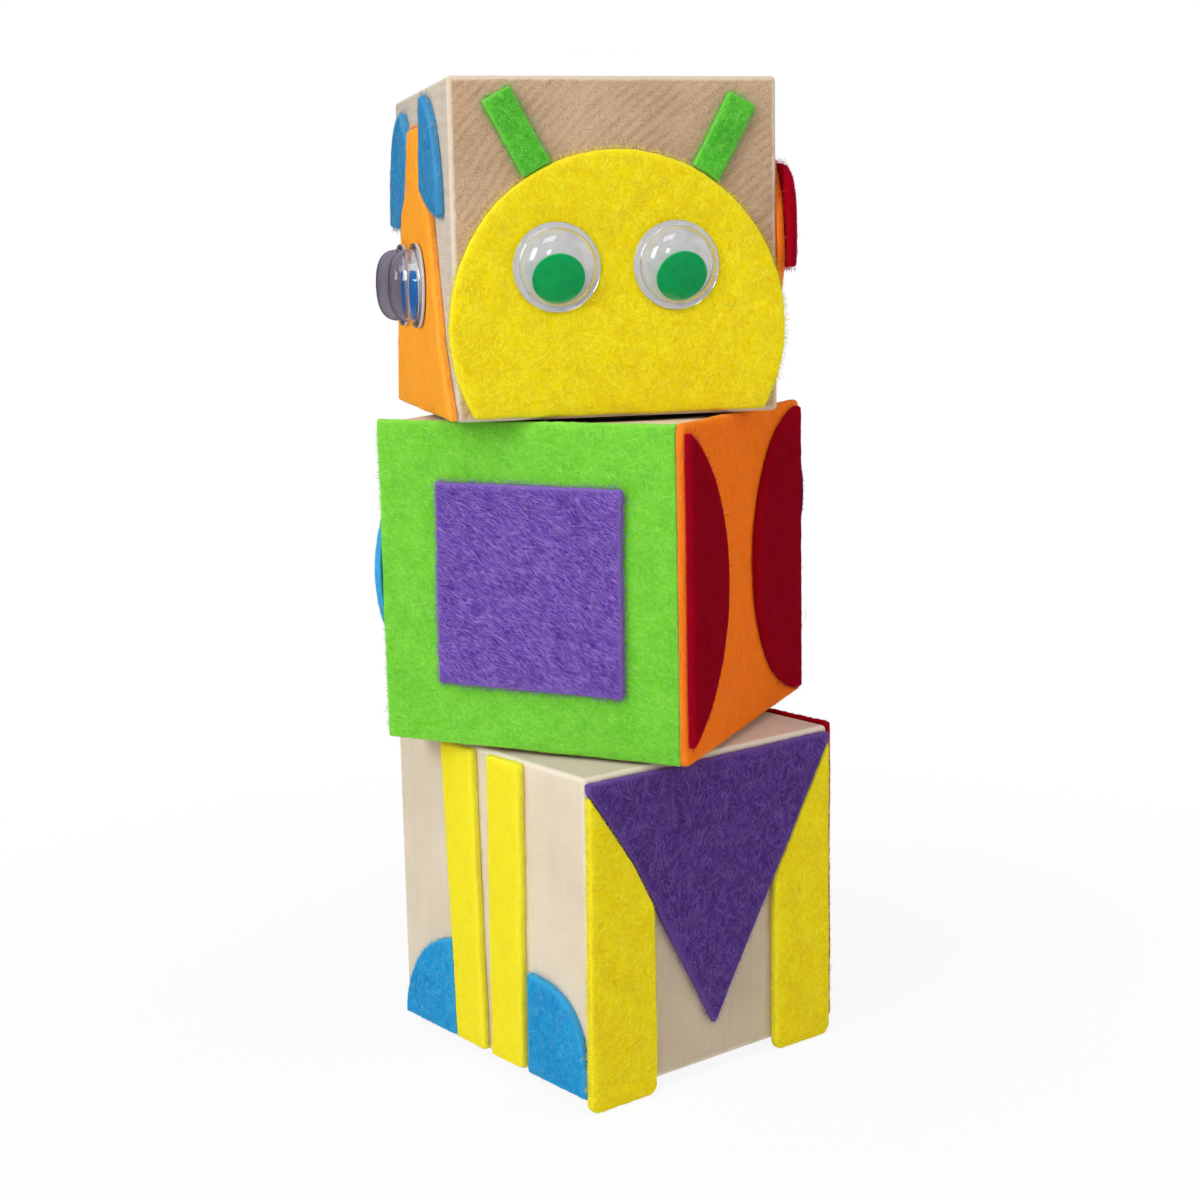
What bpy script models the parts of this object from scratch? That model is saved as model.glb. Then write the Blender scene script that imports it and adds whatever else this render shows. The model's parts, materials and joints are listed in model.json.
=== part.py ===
"""Mix-and-match stacking figure: three wooden cubes dressed in felt, turned one on another.

Units are metres and +Z is up. The origin is the middle of the foot pad's underside. The head's
yellow face looks towards -Y, and the body and legs cubes stand turned under it. Every felt piece
is drawn as if on a cube's front face: u runs to the right, v runs up from the cube's underside,
and its object is then turned about the cube's own axis to the face that carries it.
"""
import math

import bmesh
import bpy
from mathutils import Matrix, Vector

# Wooden cubes
CUBE_SIDE = 0.0762
CUBE_EDGE_ROUND = 0.0010
LEGS_TURN_DEG = -65.65
BODY_TURN_DEG = -38.65
BODY_OFFSET_X = -0.0011
BODY_OFFSET_Y = 0.0057
HEAD_OFFSET_X = -0.0026
HEAD_OFFSET_Y = 0.0118

# Felt sheet and the gaps that glued or abutting pieces keep
FELT_THICK = 0.0017
GLUE_GAP = 0.0003
CUT_GAP = 0.0004

# Hook-and-loop pads between the cubes, and the pad that the figure stands on
PAD_DIAMETER = 0.0640
HEAD_PAD_DIAMETER = 0.0750
HOOK_PAD_THICK = 0.0005
LOOP_PAD_THICK = 0.0004
PAD_GAP = 0.0001
FOOT_PAD_DIAMETER = 0.0640
FOOT_PAD_THICK = 0.0027
FLOOR_CLEARANCE = 0.0002

# Head, front: yellow disc cut flat below, with two antennae
FACE_OVERHANG = 0.0014
FACE_BASE_MARGIN = 0.0008
FACE_CENTRE_RISE = 0.0197
ANTENNA_WIDTH = 0.0071
ANTENNA_LENGTH = 0.0187
ANTENNA_LEAN_DEG = 28.4
LEFT_ANTENNA_SHIFT = -0.0004
RIGHT_ANTENNA_SHIFT = 0.0020

# Googly eyes: card back, clear dome with a flange, loose pupil
EYE_DIAMETER = 0.0200
EYE_BACK_THICK = 0.0005
EYE_SEAM = 0.0002
FLANGE_WIDTH = 0.0012
FLANGE_THICK = 0.0005
DOME_HEIGHT = 0.0062
DOME_WALL = 0.0003
DOME_SQUARENESS = 3.0
PUPIL_DIAMETER = 0.0119
PUPIL_THICK = 0.0006
PUPIL_PLAY = 0.0002
LEFT_PUPIL_SWING_DEG = -8.0
RIGHT_PUPIL_SWING_DEG = 8.0
FRONT_EYE_RISE = 0.0137
FRONT_EYE_GAP = 0.0079
FRONT_EYE_SHIFT = -0.0010
SIDE_EYE_HEIGHT = 0.0304
SIDE_EYE_GAP = 0.0010
SIDE_EYE_SHIFT = -0.0070

# Head, left side: orange face rising to a spike between two blue tufts of hair
SIDE_FACE_MARGIN = 0.0005
SIDE_JAW_RISE = 0.0015
SIDE_CHEEK_HEIGHT = 0.0170
SIDE_CHEEK_WIDTH = 0.0620
SIDE_CHEEK_SHIFT = -0.0035
SIDE_SHOULDER_HEIGHT = 0.0480
SIDE_SHOULDER_WIDTH = 0.0375
SIDE_SHOULDER_SHIFT = -0.0030
SPIKE_BASE_HEIGHT = 0.0520
SPIKE_BASE_WIDTH = 0.0212
SPIKE_BASE_SHIFT = -0.0053
SPIKE_TOP_WIDTH = 0.0144
SPIKE_TOP_SHIFT = -0.0008
SPIKE_TOP_MARGIN = 0.0090
HAIR_WIDTH = 0.0246
NEAR_HAIR_FOOT_WIDTH = 0.0117
NEAR_HAIR_TOE_DROP = 0.0025
FAR_HAIR_FOOT_WIDTH = 0.0086
FAR_HAIR_TOE_DROP = 0.0039
FAR_HAIR_NOTCH_HEIGHT = 0.0635
NEAR_HAIR_TOP_MARGIN = 0.0022
NEAR_HAIR_LEAN = 0.0037
FAR_HAIR_TOP_MARGIN = 0.0040
FAR_HAIR_LEAN = 0.0035
HAIR_BULGE_START_DEG = 1.0
HAIR_BULGE_END_DEG = 80.0

# Head, right side and back: orange face, red ears, purple disc
RIGHT_FACE_HEIGHT = 0.0700
RIGHT_FACE_CENTRE = 0.0385
RIGHT_FACE_OVERHANG = 0.0004
EAR_WIDTH = 0.0250
EAR_HEIGHT = 0.0330
EAR_CENTRE = 0.0405
EAR_BASE = 0.0331
EAR_SQUARENESS = 3.0
EAR_OVERHANG = 0.0034
REAR_DISC_DIAMETER = 0.0680

# Body: shirt, coat with two lapels, belly and back
PANEL_TOP_CLEARANCE = 0.0004
PANEL_HANG = 0.0005
PATCH_WIDTH = 0.0474
PATCH_HEIGHT = 0.0478
PATCH_SHIFT_U = 0.0014
PATCH_SHIFT_V = 0.0006
PATCH_TILT_DEG = -0.8
SHIRT_HEM_RISE = 0.0009
WRAP_MARGIN = 0.0001
COAT_HEM_RISE = 0.0022
NEAR_LAPEL_DEPTH = 0.0228
NEAR_LAPEL_CHORD = 0.0714
NEAR_LAPEL_BASE = 0.0038
FAR_LAPEL_DEPTH = 0.0322
FAR_LAPEL_CHORD = 0.0728
FAR_LAPEL_BASE = 0.0031
FAR_LAPEL_INSET = 0.0036
BELLY_HEIGHT = 0.0620
BELLY_CENTRE = 0.0396
BELLY_OVERHANG = 0.0024
REAR_PANEL_WIDTH = 0.0758
REAR_PANEL_HEIGHT = 0.0450
REAR_PANEL_CENTRE = 0.0530
REAR_PANEL_OVERHANG = 0.0026
REAR_PANEL_SQUARENESS = 2.7

# Legs, front: two yellow strips with blue shoes
STRIP_MARGIN = 0.0006
STRIP_TOP_WIDTH = 0.0129
STRIP_FOOT_WIDTH = 0.0116
STRIP_TOP_GAP = 0.0063
STRIP_FOOT_GAP = 0.0032
STRIP_TOP_SHIFT = -0.0006
STRIP_FOOT_SHIFT = -0.0002
RIGHT_STRIP_FLARE = 0.0009
SHOE_HEIGHT = 0.0252
LEFT_SHOE_MARGIN = 0.0018
RIGHT_SHOE_GAP = 0.0022
SHOE_ARC_DEG = 80.0
LEFT_SHOE_SQUARENESS = 1.85
RIGHT_SHOE_SQUARENESS = 2.8

# Legs, right side: purple triangle over two yellow legs that reach below the wood
SKIRT_TOP_MARGIN = 0.0012
SKIRT_RIM = 0.0018
SKIRT_TIP_HEIGHT = 0.0096
SKIRT_TIP_SHIFT = -0.0012
SKIRT_SIDE_MARGIN = 0.0010
SKIRT_BEND_HEIGHT = 0.0548
SKIRT_BEND_BOW = 0.0019
INNER_LEG_GAP = 0.0380
INNER_LEG_SHIFT = -0.0005
LEFT_LEG_FLARE = 0.0012
LEG_CORNER_ROUND = 0.0026

# Legs, the two far sides: red trousers and a pair of green strips
TROUSER_MARGIN = 0.0006
TROUSER_RISE = 0.0005
TROUSER_SPLIT_WIDTH = 0.0160
TROUSER_SPLIT_HEIGHT = 0.0450
REAR_STRIP_WIDTH = 0.0180
REAR_STRIP_GAP = 0.0120
REAR_STRIP_MARGIN = 0.0006

# Smoothness of round stretches
ARC_STEPS = 24
CORNER_STEPS = 8
FOOT_STEPS = 4
DISC_STEPS = 56
TURN_STEPS = 36
DOME_STEPS = 8
EDGE_STEPS = 2
EDGE_PROFILE = 0.5
MERGE_DISTANCE = 1e-6
SHARP_EDGE_DEG = 40.0
LEAN_STEP_DEG = 0.25
LEAN_LIMIT_DEG = 40.0

# Heights and layers that follow from the sizes above
HALF_SIDE = CUBE_SIDE / 2
FELT_OUTER = GLUE_GAP + FELT_THICK
STACK_GAP = HOOK_PAD_THICK + LOOP_PAD_THICK + 3 * PAD_GAP
LEGS_BASE = FOOT_PAD_THICK + GLUE_GAP
BODY_BASE = LEGS_BASE + CUBE_SIDE + STACK_GAP
HEAD_BASE = BODY_BASE + CUBE_SIDE + STACK_GAP
PANEL_RISE = STACK_GAP - PANEL_TOP_CLEARANCE
LEG_HANG = LEGS_BASE - FLOOR_CLEARANCE
WRAP = FELT_OUTER - WRAP_MARGIN

# Turn of each face about the cube's axis, in degrees
FRONT, RIGHT, BACK, LEFT = 0.0, 90.0, 180.0, -90.0

# Finishes: name, colour and roughness
FELT_ROUGHNESS = 0.95
WOOD_ROUGHNESS = 0.65
HOOK_ROUGHNESS = 0.8
CARD_ROUGHNESS = 0.35
CLEAR_ROUGHNESS = 0.05
PUPIL_ROUGHNESS = 0.3

WOOD = ("wood", (0.72, 0.60, 0.46), WOOD_ROUGHNESS)
YELLOW = ("yellow_felt", (0.83, 0.72, 0.02), FELT_ROUGHNESS)
GREEN = ("green_felt", (0.16, 0.60, 0.04), FELT_ROUGHNESS)
PURPLE = ("purple_felt", (0.13, 0.06, 0.36), FELT_ROUGHNESS)
ORANGE = ("orange_felt", (0.95, 0.28, 0.02), FELT_ROUGHNESS)
RED = ("red_felt", (0.40, 0.0, 0.01), FELT_ROUGHNESS)
BLUE = ("blue_felt", (0.03, 0.26, 0.60), FELT_ROUGHNESS)
HOOK = ("hook_tape", (0.01, 0.01, 0.01), HOOK_ROUGHNESS)
LOOP = ("loop_tape", (0.015, 0.015, 0.015), FELT_ROUGHNESS)
FOOT = ("foot_felt", (0.02, 0.02, 0.02), FELT_ROUGHNESS)
EYE_WHITE = ("eye_white", (0.90, 0.90, 0.88), CARD_ROUGHNESS)
CLEAR = ("clear_dome", (1.0, 1.0, 1.0), CLEAR_ROUGHNESS)
GREEN_PUPIL = ("green_pupil", (0.0, 0.30, 0.07), PUPIL_ROUGHNESS)
BLUE_PUPIL = ("blue_pupil", (0.01, 0.09, 0.40), PUPIL_ROUGHNESS)


def clear_scene():
    """Remove every object, so that the script can be run again."""
    for obj in list(bpy.data.objects):
        bpy.data.objects.remove(obj)


def material(finish):
    """Make, or reuse, the Principled material of a finish."""
    name, colour, roughness = finish
    found = bpy.data.materials.get(name)
    if found:
        return found
    made = bpy.data.materials.new(name)
    made.use_nodes = True
    shader = made.node_tree.nodes["Principled BSDF"]
    shader.inputs["Base Color"].default_value = (*colour, 1.0)
    shader.inputs["Roughness"].default_value = roughness
    shader.inputs["Metallic"].default_value = 0.0
    return made


def empty(name, location, turn_deg=0.0, parent=None):
    """An axis marker that carries the pieces of one cube or one eye."""
    marker = bpy.data.objects.new(name, None)
    marker.location = location
    marker.rotation_euler.z = math.radians(turn_deg)
    marker.parent = parent
    bpy.context.collection.objects.link(marker)
    return marker


def add_piece(name, shape, finish, parent, turn_deg=0.0, smooth=False):
    """Turn a bmesh into a named object with its own finish, under an axis marker."""
    bmesh.ops.recalc_face_normals(shape, faces=shape.faces)
    mesh = bpy.data.meshes.new(name)
    shape.to_mesh(mesh)
    shape.free()
    if smooth:
        mesh.shade_smooth()
        mesh.set_sharp_from_angle(angle=math.radians(SHARP_EDGE_DEG))
    mesh.materials.append(material(finish))
    piece = bpy.data.objects.new(name, mesh)
    piece.rotation_euler.z = math.radians(turn_deg)
    piece.parent = parent
    bpy.context.collection.objects.link(piece)
    return piece


def cube(name, parent):
    """A wooden cube with eased edges, standing on its marker."""
    shape = bmesh.new()
    bmesh.ops.create_cube(shape, size=CUBE_SIDE)
    bmesh.ops.translate(shape, verts=shape.verts, vec=(0, 0, HALF_SIDE))
    bmesh.ops.bevel(shape, geom=shape.edges[:], offset=CUBE_EDGE_ROUND, segments=EDGE_STEPS,
                    profile=EDGE_PROFILE, affect="EDGES")
    return add_piece(name, shape, WOOD, parent)


def round_pad(name, parent, diameter, thickness, base, finish):
    """A flat round pad whose underside lies at height base above its marker."""
    shape = bmesh.new()
    bmesh.ops.create_cone(shape, cap_ends=True, segments=DISC_STEPS, radius1=diameter / 2,
                          radius2=diameter / 2, depth=thickness)
    bmesh.ops.translate(shape, verts=shape.verts, vec=(0, 0, base + thickness / 2))
    return add_piece(name, shape, finish, parent, smooth=True)


def felt(name, outline, finish, parent, turn_deg, layer=0):
    """A flat felt piece of the given outline, glued to a face or to the felt already on it."""
    inner = HALF_SIDE + layer * FELT_OUTER + GLUE_GAP
    shape = bmesh.new()
    corners = [shape.verts.new((u, -inner, v)) for u, v in outline]
    sheet = shape.faces.new(corners)
    raised = bmesh.ops.extrude_face_region(shape, geom=[sheet])["geom"]
    moved = [item for item in raised if isinstance(item, bmesh.types.BMVert)]
    bmesh.ops.translate(shape, verts=moved, vec=(0, -FELT_THICK, 0))
    return add_piece(name, shape, finish, parent, turn_deg)


def arc(centre, radius_u, radius_v, start_deg, end_deg, steps=ARC_STEPS, squareness=2.0):
    """Points along an elliptical arc; a squareness over 2 fills out its corners."""
    points = []
    for step in range(steps + 1):
        angle = math.radians(start_deg + (end_deg - start_deg) * step / steps)
        u = math.copysign(abs(math.cos(angle)) ** (2 / squareness), math.cos(angle))
        v = math.copysign(abs(math.sin(angle)) ** (2 / squareness), math.sin(angle))
        points.append((centre[0] + radius_u * u, centre[1] + radius_v * v))
    return points


def disc(centre, radius_u, radius_v, squareness=2.0):
    """A whole circle or oval, without a doubled last point."""
    return arc(centre, radius_u, radius_v, 0, 360, DISC_STEPS, squareness)[:-1]


def box_outline(left, right, bottom, top):
    """The corners of an upright rectangle."""
    return [(left, bottom), (right, bottom), (right, top), (left, top)]


def turned_points(points, angle_deg, centre):
    """Points turned about a centre."""
    cos_a = math.cos(math.radians(angle_deg))
    sin_a = math.sin(math.radians(angle_deg))
    result = []
    for u, v in points:
        du = u - centre[0]
        dv = v - centre[1]
        result.append((centre[0] + du * cos_a - dv * sin_a, centre[1] + du * sin_a + dv * cos_a))
    return result


def segment(edge_u, side, chord, depth, centre_v):
    """A circular segment whose straight side stands on u = edge_u, bulging towards side (+1 or -1)."""
    radius = ((chord / 2) ** 2 + depth ** 2) / (2 * depth)
    centre_u = edge_u + side * (depth - radius)
    reach = math.degrees(math.acos((radius - depth) / radius))
    if side > 0:
        return arc((centre_u, centre_v), radius, radius, -reach, reach)
    return arc((centre_u, centre_v), radius, radius, 180 - reach, 180 + reach)


def along(start, end, v):
    """The u at height v on the straight line from start to end."""
    share = (v - start[1]) / (end[1] - start[1])
    return start[0] + (end[0] - start[0]) * share


def rise(start, end, u):
    """The v at place u on the straight line from start to end."""
    share = (u - start[0]) / (end[0] - start[0])
    return start[1] + (end[1] - start[1]) * share


# Googly eyes

DOME_RADIUS = EYE_DIAMETER / 2 - FLANGE_WIDTH
CAVITY_RADIUS = DOME_RADIUS - DOME_WALL
CAVITY_HEIGHT = DOME_HEIGHT - DOME_WALL
PUPIL_RADIUS = PUPIL_DIAMETER / 2


def dome_arc(radius, height):
    """Profile of a dome from its rim up to the axis, as (radius, height) points."""
    return arc((0, 0), radius, height, 0, 90, DOME_STEPS, DOME_SQUARENESS)


def pupil_pose(lean):
    """Drop below the eye's axis and distance from the card of a pupil leaning by an angle."""
    edge = PUPIL_RADIUS * math.cos(lean) + PUPIL_THICK / 2 * math.sin(lean)
    drop = CAVITY_RADIUS - 2 * PUPIL_PLAY - edge
    out = PUPIL_PLAY + PUPIL_RADIUS * math.sin(lean) + PUPIL_THICK / 2 * math.cos(lean)
    return drop, out


def pupil_clears(lean):
    """True where every point of the leaning pupil's front rim stays inside the dome."""
    drop, out = pupil_pose(lean)
    front = PUPIL_THICK / 2
    for step in range(TURN_STEPS):
        angle = 2 * math.pi * step / TURN_STEPS
        side = PUPIL_RADIUS * math.cos(angle)
        up = PUPIL_RADIUS * math.sin(angle)
        height = up * math.cos(lean) - front * math.sin(lean) - drop
        reach = up * math.sin(lean) + front * math.cos(lean) + out
        share = (math.hypot(side, height) + PUPIL_PLAY) / CAVITY_RADIUS
        if share >= 1:
            return False
        room = CAVITY_HEIGHT * (1 - share ** DOME_SQUARENESS) ** (1 / DOME_SQUARENESS)
        if reach + PUPIL_PLAY > room:
            return False
    return True


def resting_lean():
    """The angle at which a pupil that tips forward comes to rest against the dome."""
    step = math.radians(LEAN_STEP_DEG)
    lean = 0.0
    while lean < math.radians(LEAN_LIMIT_DEG) and pupil_clears(lean + step):
        lean += step
    return lean


def turned(profile):
    """A solid turned about the eye's axis (-Y) from (radius, height) points that end on it."""
    shape = bmesh.new()
    points = [shape.verts.new((radius, -height, 0)) for radius, height in profile]
    edges = [shape.edges.new(pair) for pair in zip(points, points[1:])]
    bmesh.ops.spin(shape, geom=points + edges, cent=(0, 0, 0), axis=(0, 1, 0),
                   angle=2 * math.pi, steps=TURN_STEPS, use_merge=True)
    bmesh.ops.remove_doubles(shape, verts=shape.verts, dist=MERGE_DISTANCE)
    return shape


def eye(name, cube_marker, turn_deg, place, pupil_finish, leans=False, swing_deg=0.0):
    """One eye on a felt face: card back, dome and a pupil that may lean forward and swing to the right."""
    u, v = place
    seat = Vector((u, -(HALF_SIDE + FELT_OUTER + GLUE_GAP), v))
    turn = math.radians(turn_deg)
    spot = (seat.x * math.cos(turn) - seat.y * math.sin(turn),
            seat.x * math.sin(turn) + seat.y * math.cos(turn), seat.z)
    marker = empty(name + "_axis", spot, turn_deg, cube_marker)
    rim = EYE_DIAMETER / 2

    back = turned([(0, EYE_BACK_THICK), (rim, EYE_BACK_THICK), (rim, 0), (0, 0)])
    add_piece(name + "_back", back, EYE_WHITE, marker, smooth=True)

    base = EYE_BACK_THICK + EYE_SEAM
    outer = [(r, base + h) for r, h in dome_arc(DOME_RADIUS, DOME_HEIGHT)]
    inner = [(r, base + h) for r, h in dome_arc(CAVITY_RADIUS, CAVITY_HEIGHT)]
    outer[0] = (DOME_RADIUS, base + FLANGE_THICK)
    flange = [(rim, base + FLANGE_THICK), (rim, base)]
    profile = list(reversed(outer)) + flange + inner
    add_piece(name + "_dome", turned(profile), CLEAR, marker, smooth=True)

    lean = resting_lean() if leans else 0.0
    drop, out = pupil_pose(lean)
    pupil = bmesh.new()
    bmesh.ops.create_cone(pupil, cap_ends=True, segments=TURN_STEPS, radius1=PUPIL_RADIUS,
                          radius2=PUPIL_RADIUS, depth=PUPIL_THICK)
    bmesh.ops.rotate(pupil, verts=pupil.verts, matrix=Matrix.Rotation(math.pi / 2 + lean, 3, "X"))
    bmesh.ops.translate(pupil, verts=pupil.verts, vec=(0, -(base + out), -drop))
    swing = Matrix.Rotation(-math.radians(swing_deg), 3, "Y")
    bmesh.ops.rotate(pupil, verts=pupil.verts, matrix=swing)
    add_piece(name + "_pupil", pupil, pupil_finish, marker, smooth=True)


# Head

FACE_RADIUS = HALF_SIDE + FACE_OVERHANG
FACE_CENTRE = FACE_BASE_MARGIN + FACE_CENTRE_RISE


def antenna_outline(side):
    """A strip that starts at the disc's rim and leans out from upright, left (-1) or right (+1)."""
    shift = LEFT_ANTENNA_SHIFT if side < 0 else RIGHT_ANTENNA_SHIFT
    start = FACE_RADIUS + CUT_GAP
    right = side * shift + ANTENNA_WIDTH / 2
    left = side * shift - ANTENNA_WIDTH / 2
    foot = arc((0, FACE_CENTRE), start, start, math.degrees(math.acos(right / start)),
               math.degrees(math.acos(left / start)), FOOT_STEPS)
    top = FACE_CENTRE + start + ANTENNA_LENGTH
    return turned_points(foot + [(left, top), (right, top)], -side * ANTENNA_LEAN_DEG, (0, FACE_CENTRE))


def head_front(head):
    """Yellow face, antennae and two eyes with green pupils."""
    reach = math.degrees(math.asin(FACE_CENTRE_RISE / FACE_RADIUS))
    outline = arc((0, FACE_CENTRE), FACE_RADIUS, FACE_RADIUS, -reach, 180 + reach, DISC_STEPS)
    felt("face_disc", outline, YELLOW, head, FRONT)
    for name, side in (("left", -1), ("right", 1)):
        felt(name + "_antenna", antenna_outline(side), GREEN, head, FRONT)
        half_pitch = (EYE_DIAMETER + FRONT_EYE_GAP) / 2
        place = (FRONT_EYE_SHIFT + side * half_pitch, FACE_CENTRE + FRONT_EYE_RISE)
        swing = LEFT_PUPIL_SWING_DEG if side < 0 else RIGHT_PUPIL_SWING_DEG
        eye(name + "_eye", head, FRONT, place, GREEN_PUPIL, leans=True, swing_deg=swing)


def side_face_edge(side):
    """One edge of the orange side face, far (-1) or near (+1), from the jaw up to the spike's top."""
    return [
        (side * HALF_SIDE, SIDE_FACE_MARGIN),
        (side * HALF_SIDE, SIDE_FACE_MARGIN + SIDE_JAW_RISE),
        (SIDE_CHEEK_SHIFT + side * SIDE_CHEEK_WIDTH / 2, SIDE_CHEEK_HEIGHT),
        (SIDE_SHOULDER_SHIFT + side * SIDE_SHOULDER_WIDTH / 2, SIDE_SHOULDER_HEIGHT),
        (SPIKE_BASE_SHIFT + side * SPIKE_BASE_WIDTH / 2, SPIKE_BASE_HEIGHT),
        (SPIKE_TOP_SHIFT + side * SPIKE_TOP_WIDTH / 2, CUBE_SIDE - SPIKE_TOP_MARGIN),
    ]


def hair_outline(side):
    """The tuft beside the spike, far (-1) or near (+1): bulging outside, the far one cut aslant on top."""
    shoulder, spike_base, spike_top = side_face_edge(side)[3:]
    base = (spike_base[0] + side * CUT_GAP, spike_base[1] + CUT_GAP)
    foot = (shoulder[0] + side * CUT_GAP, shoulder[1] + CUT_GAP)
    foot_width = FAR_HAIR_FOOT_WIDTH if side < 0 else NEAR_HAIR_FOOT_WIDTH
    toe_drop = FAR_HAIR_TOE_DROP if side < 0 else NEAR_HAIR_TOE_DROP
    toe = (foot[0] + side * foot_width, foot[1] - toe_drop)
    lean = FAR_HAIR_LEAN if side < 0 else NEAR_HAIR_LEAN
    top_margin = FAR_HAIR_TOP_MARGIN if side < 0 else NEAR_HAIR_TOP_MARGIN
    crown = (base[0] + side * lean, CUBE_SIDE - top_margin)
    reach = HAIR_WIDTH - lean
    bulge = arc((0, toe[1]), reach, crown[1] - toe[1], HAIR_BULGE_START_DEG, HAIR_BULGE_END_DEG)
    outline = [base, foot, toe, *[(crown[0] + side * u, v) for u, v in bulge], crown]
    if side < 0:
        notch = along(spike_base, spike_top, FAR_HAIR_NOTCH_HEIGHT)
        outline.append((notch - CUT_GAP, FAR_HAIR_NOTCH_HEIGHT))
    return outline


def head_left_side(head):
    """Orange face with a spike, blue hair and two eyes with blue pupils."""
    outline = side_face_edge(1) + list(reversed(side_face_edge(-1)))
    felt("side_face", outline, ORANGE, head, LEFT)
    for name, side in (("far", -1), ("near", 1)):
        felt("side_" + name + "_hair", hair_outline(side), BLUE, head, LEFT)
        half_pitch = (EYE_DIAMETER + SIDE_EYE_GAP) / 2
        place = (SIDE_EYE_SHIFT + side * half_pitch, SIDE_EYE_HEIGHT)
        eye("side_" + name + "_eye", head, LEFT, place, BLUE_PUPIL)


def ear_outline(side):
    """A squared oval cut flat below, which overhangs the cube's near (1) or far (-1) edge."""
    centre = (-side * (HALF_SIDE + EAR_OVERHANG - EAR_WIDTH / 2), EAR_CENTRE)
    drop = (EAR_CENTRE - EAR_BASE) / (EAR_HEIGHT / 2)
    reach = math.degrees(math.asin(drop ** (EAR_SQUARENESS / 2)))
    return arc(centre, EAR_WIDTH / 2, EAR_HEIGHT / 2, -reach, 180 + reach, ARC_STEPS, EAR_SQUARENESS)


def head_right_side(head):
    """Orange face with a red ear at each edge."""
    outline = disc((0, RIGHT_FACE_CENTRE), HALF_SIDE + RIGHT_FACE_OVERHANG, RIGHT_FACE_HEIGHT / 2)
    felt("right_face", outline, ORANGE, head, RIGHT)
    for name, side in (("near", 1), ("far", -1)):
        felt("right_" + name + "_ear", ear_outline(side), RED, head, RIGHT, layer=1)


def head_back(head):
    """Plain purple disc on the unseen side."""
    radius = REAR_DISC_DIAMETER / 2
    felt("head_rear_disc", disc((0, HALF_SIDE), radius, radius), PURPLE, head, BACK)


# Body

def full_panel(near_wrap=0.0, near_rise=0.0, far_rise=0.0):
    """A panel over a whole face of the body, wrapped round its near edge, with its hem cut aslant."""
    near = -HALF_SIDE - near_wrap
    top = CUBE_SIDE + PANEL_RISE
    near_hem = near_rise - PANEL_HANG
    far_hem = far_rise - PANEL_HANG
    return [(near, near_hem), (HALF_SIDE, far_hem), (HALF_SIDE, top), (near, top)]


def body_felt(body):
    """Green shirt with a purple patch, orange coat with red lapels, blue belly and purple back."""
    felt("shirt_panel", full_panel(near_rise=SHIRT_HEM_RISE), GREEN, body, FRONT)
    centre = (PATCH_SHIFT_U, HALF_SIDE + PATCH_SHIFT_V)
    square = box_outline(centre[0] - PATCH_WIDTH / 2, centre[0] + PATCH_WIDTH / 2,
                         centre[1] - PATCH_HEIGHT / 2, centre[1] + PATCH_HEIGHT / 2)
    felt("shirt_patch", turned_points(square, PATCH_TILT_DEG, centre), PURPLE, body, FRONT, layer=1)

    felt("coat_panel", full_panel(WRAP, far_rise=COAT_HEM_RISE), ORANGE, body, RIGHT)
    near = segment(-HALF_SIDE - WRAP, 1, NEAR_LAPEL_CHORD, NEAR_LAPEL_DEPTH,
                   NEAR_LAPEL_BASE + NEAR_LAPEL_CHORD / 2)
    felt("coat_near_lapel", near, RED, body, RIGHT, layer=1)
    far = segment(HALF_SIDE - FAR_LAPEL_INSET, -1, FAR_LAPEL_CHORD, FAR_LAPEL_DEPTH,
                  FAR_LAPEL_BASE + FAR_LAPEL_CHORD / 2)
    felt("coat_far_lapel", far, RED, body, RIGHT, layer=1)

    belly = disc((0, BELLY_CENTRE), HALF_SIDE + BELLY_OVERHANG, BELLY_HEIGHT / 2)
    felt("belly_oval", belly, BLUE, body, LEFT)
    reach = REAR_PANEL_WIDTH / 2
    centre = (reach - HALF_SIDE - REAR_PANEL_OVERHANG, REAR_PANEL_CENTRE)
    rear = disc(centre, reach, REAR_PANEL_HEIGHT / 2, REAR_PANEL_SQUARENESS)
    felt("body_rear_panel", rear, PURPLE, body, BACK)


# Legs

def strip_outline(side):
    """A leg strip, left (-1) or right (+1), narrower at its foot."""
    low = STRIP_MARGIN
    high = CUBE_SIDE - STRIP_MARGIN
    foot = STRIP_FOOT_SHIFT + side * STRIP_FOOT_GAP / 2
    top = STRIP_TOP_SHIFT + side * STRIP_TOP_GAP / 2
    foot_width = STRIP_FOOT_WIDTH + (RIGHT_STRIP_FLARE if side > 0 else 0.0)
    return [(foot, low), (top, high), (top + side * STRIP_TOP_WIDTH, high), (foot + side * foot_width, low)]


def shoe_outline(side):
    """A quarter-round shoe whose heel follows the strip's outer edge."""
    high, low = strip_outline(side)[2:]
    end = side * (HALF_SIDE - (LEFT_SHOE_MARGIN if side < 0 else 0.0))
    gap = CUT_GAP if side < 0 else RIGHT_SHOE_GAP
    heel = (low[0] + side * gap, low[1])
    instep = (along(low, high, SHOE_HEIGHT) + side * gap, SHOE_HEIGHT)
    squareness = LEFT_SHOE_SQUARENESS if side < 0 else RIGHT_SHOE_SQUARENESS
    toe = arc(heel, end - heel[0], SHOE_HEIGHT - low[1], 0, SHOE_ARC_DEG, ARC_STEPS, squareness)
    return [heel, *toe, instep]


def skirt_points():
    """Left rim, bend, tip and right rim of the purple triangle's lower outline."""
    rim_v = CUBE_SIDE - SKIRT_TOP_MARGIN - SKIRT_RIM
    left = (-HALF_SIDE, rim_v)
    right = (HALF_SIDE - SKIRT_SIDE_MARGIN, rim_v)
    tip = (SKIRT_TIP_SHIFT, SKIRT_TIP_HEIGHT)
    bend = (along(left, tip, SKIRT_BEND_HEIGHT) + SKIRT_BEND_BOW, SKIRT_BEND_HEIGHT)
    return left, bend, tip, right


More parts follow.
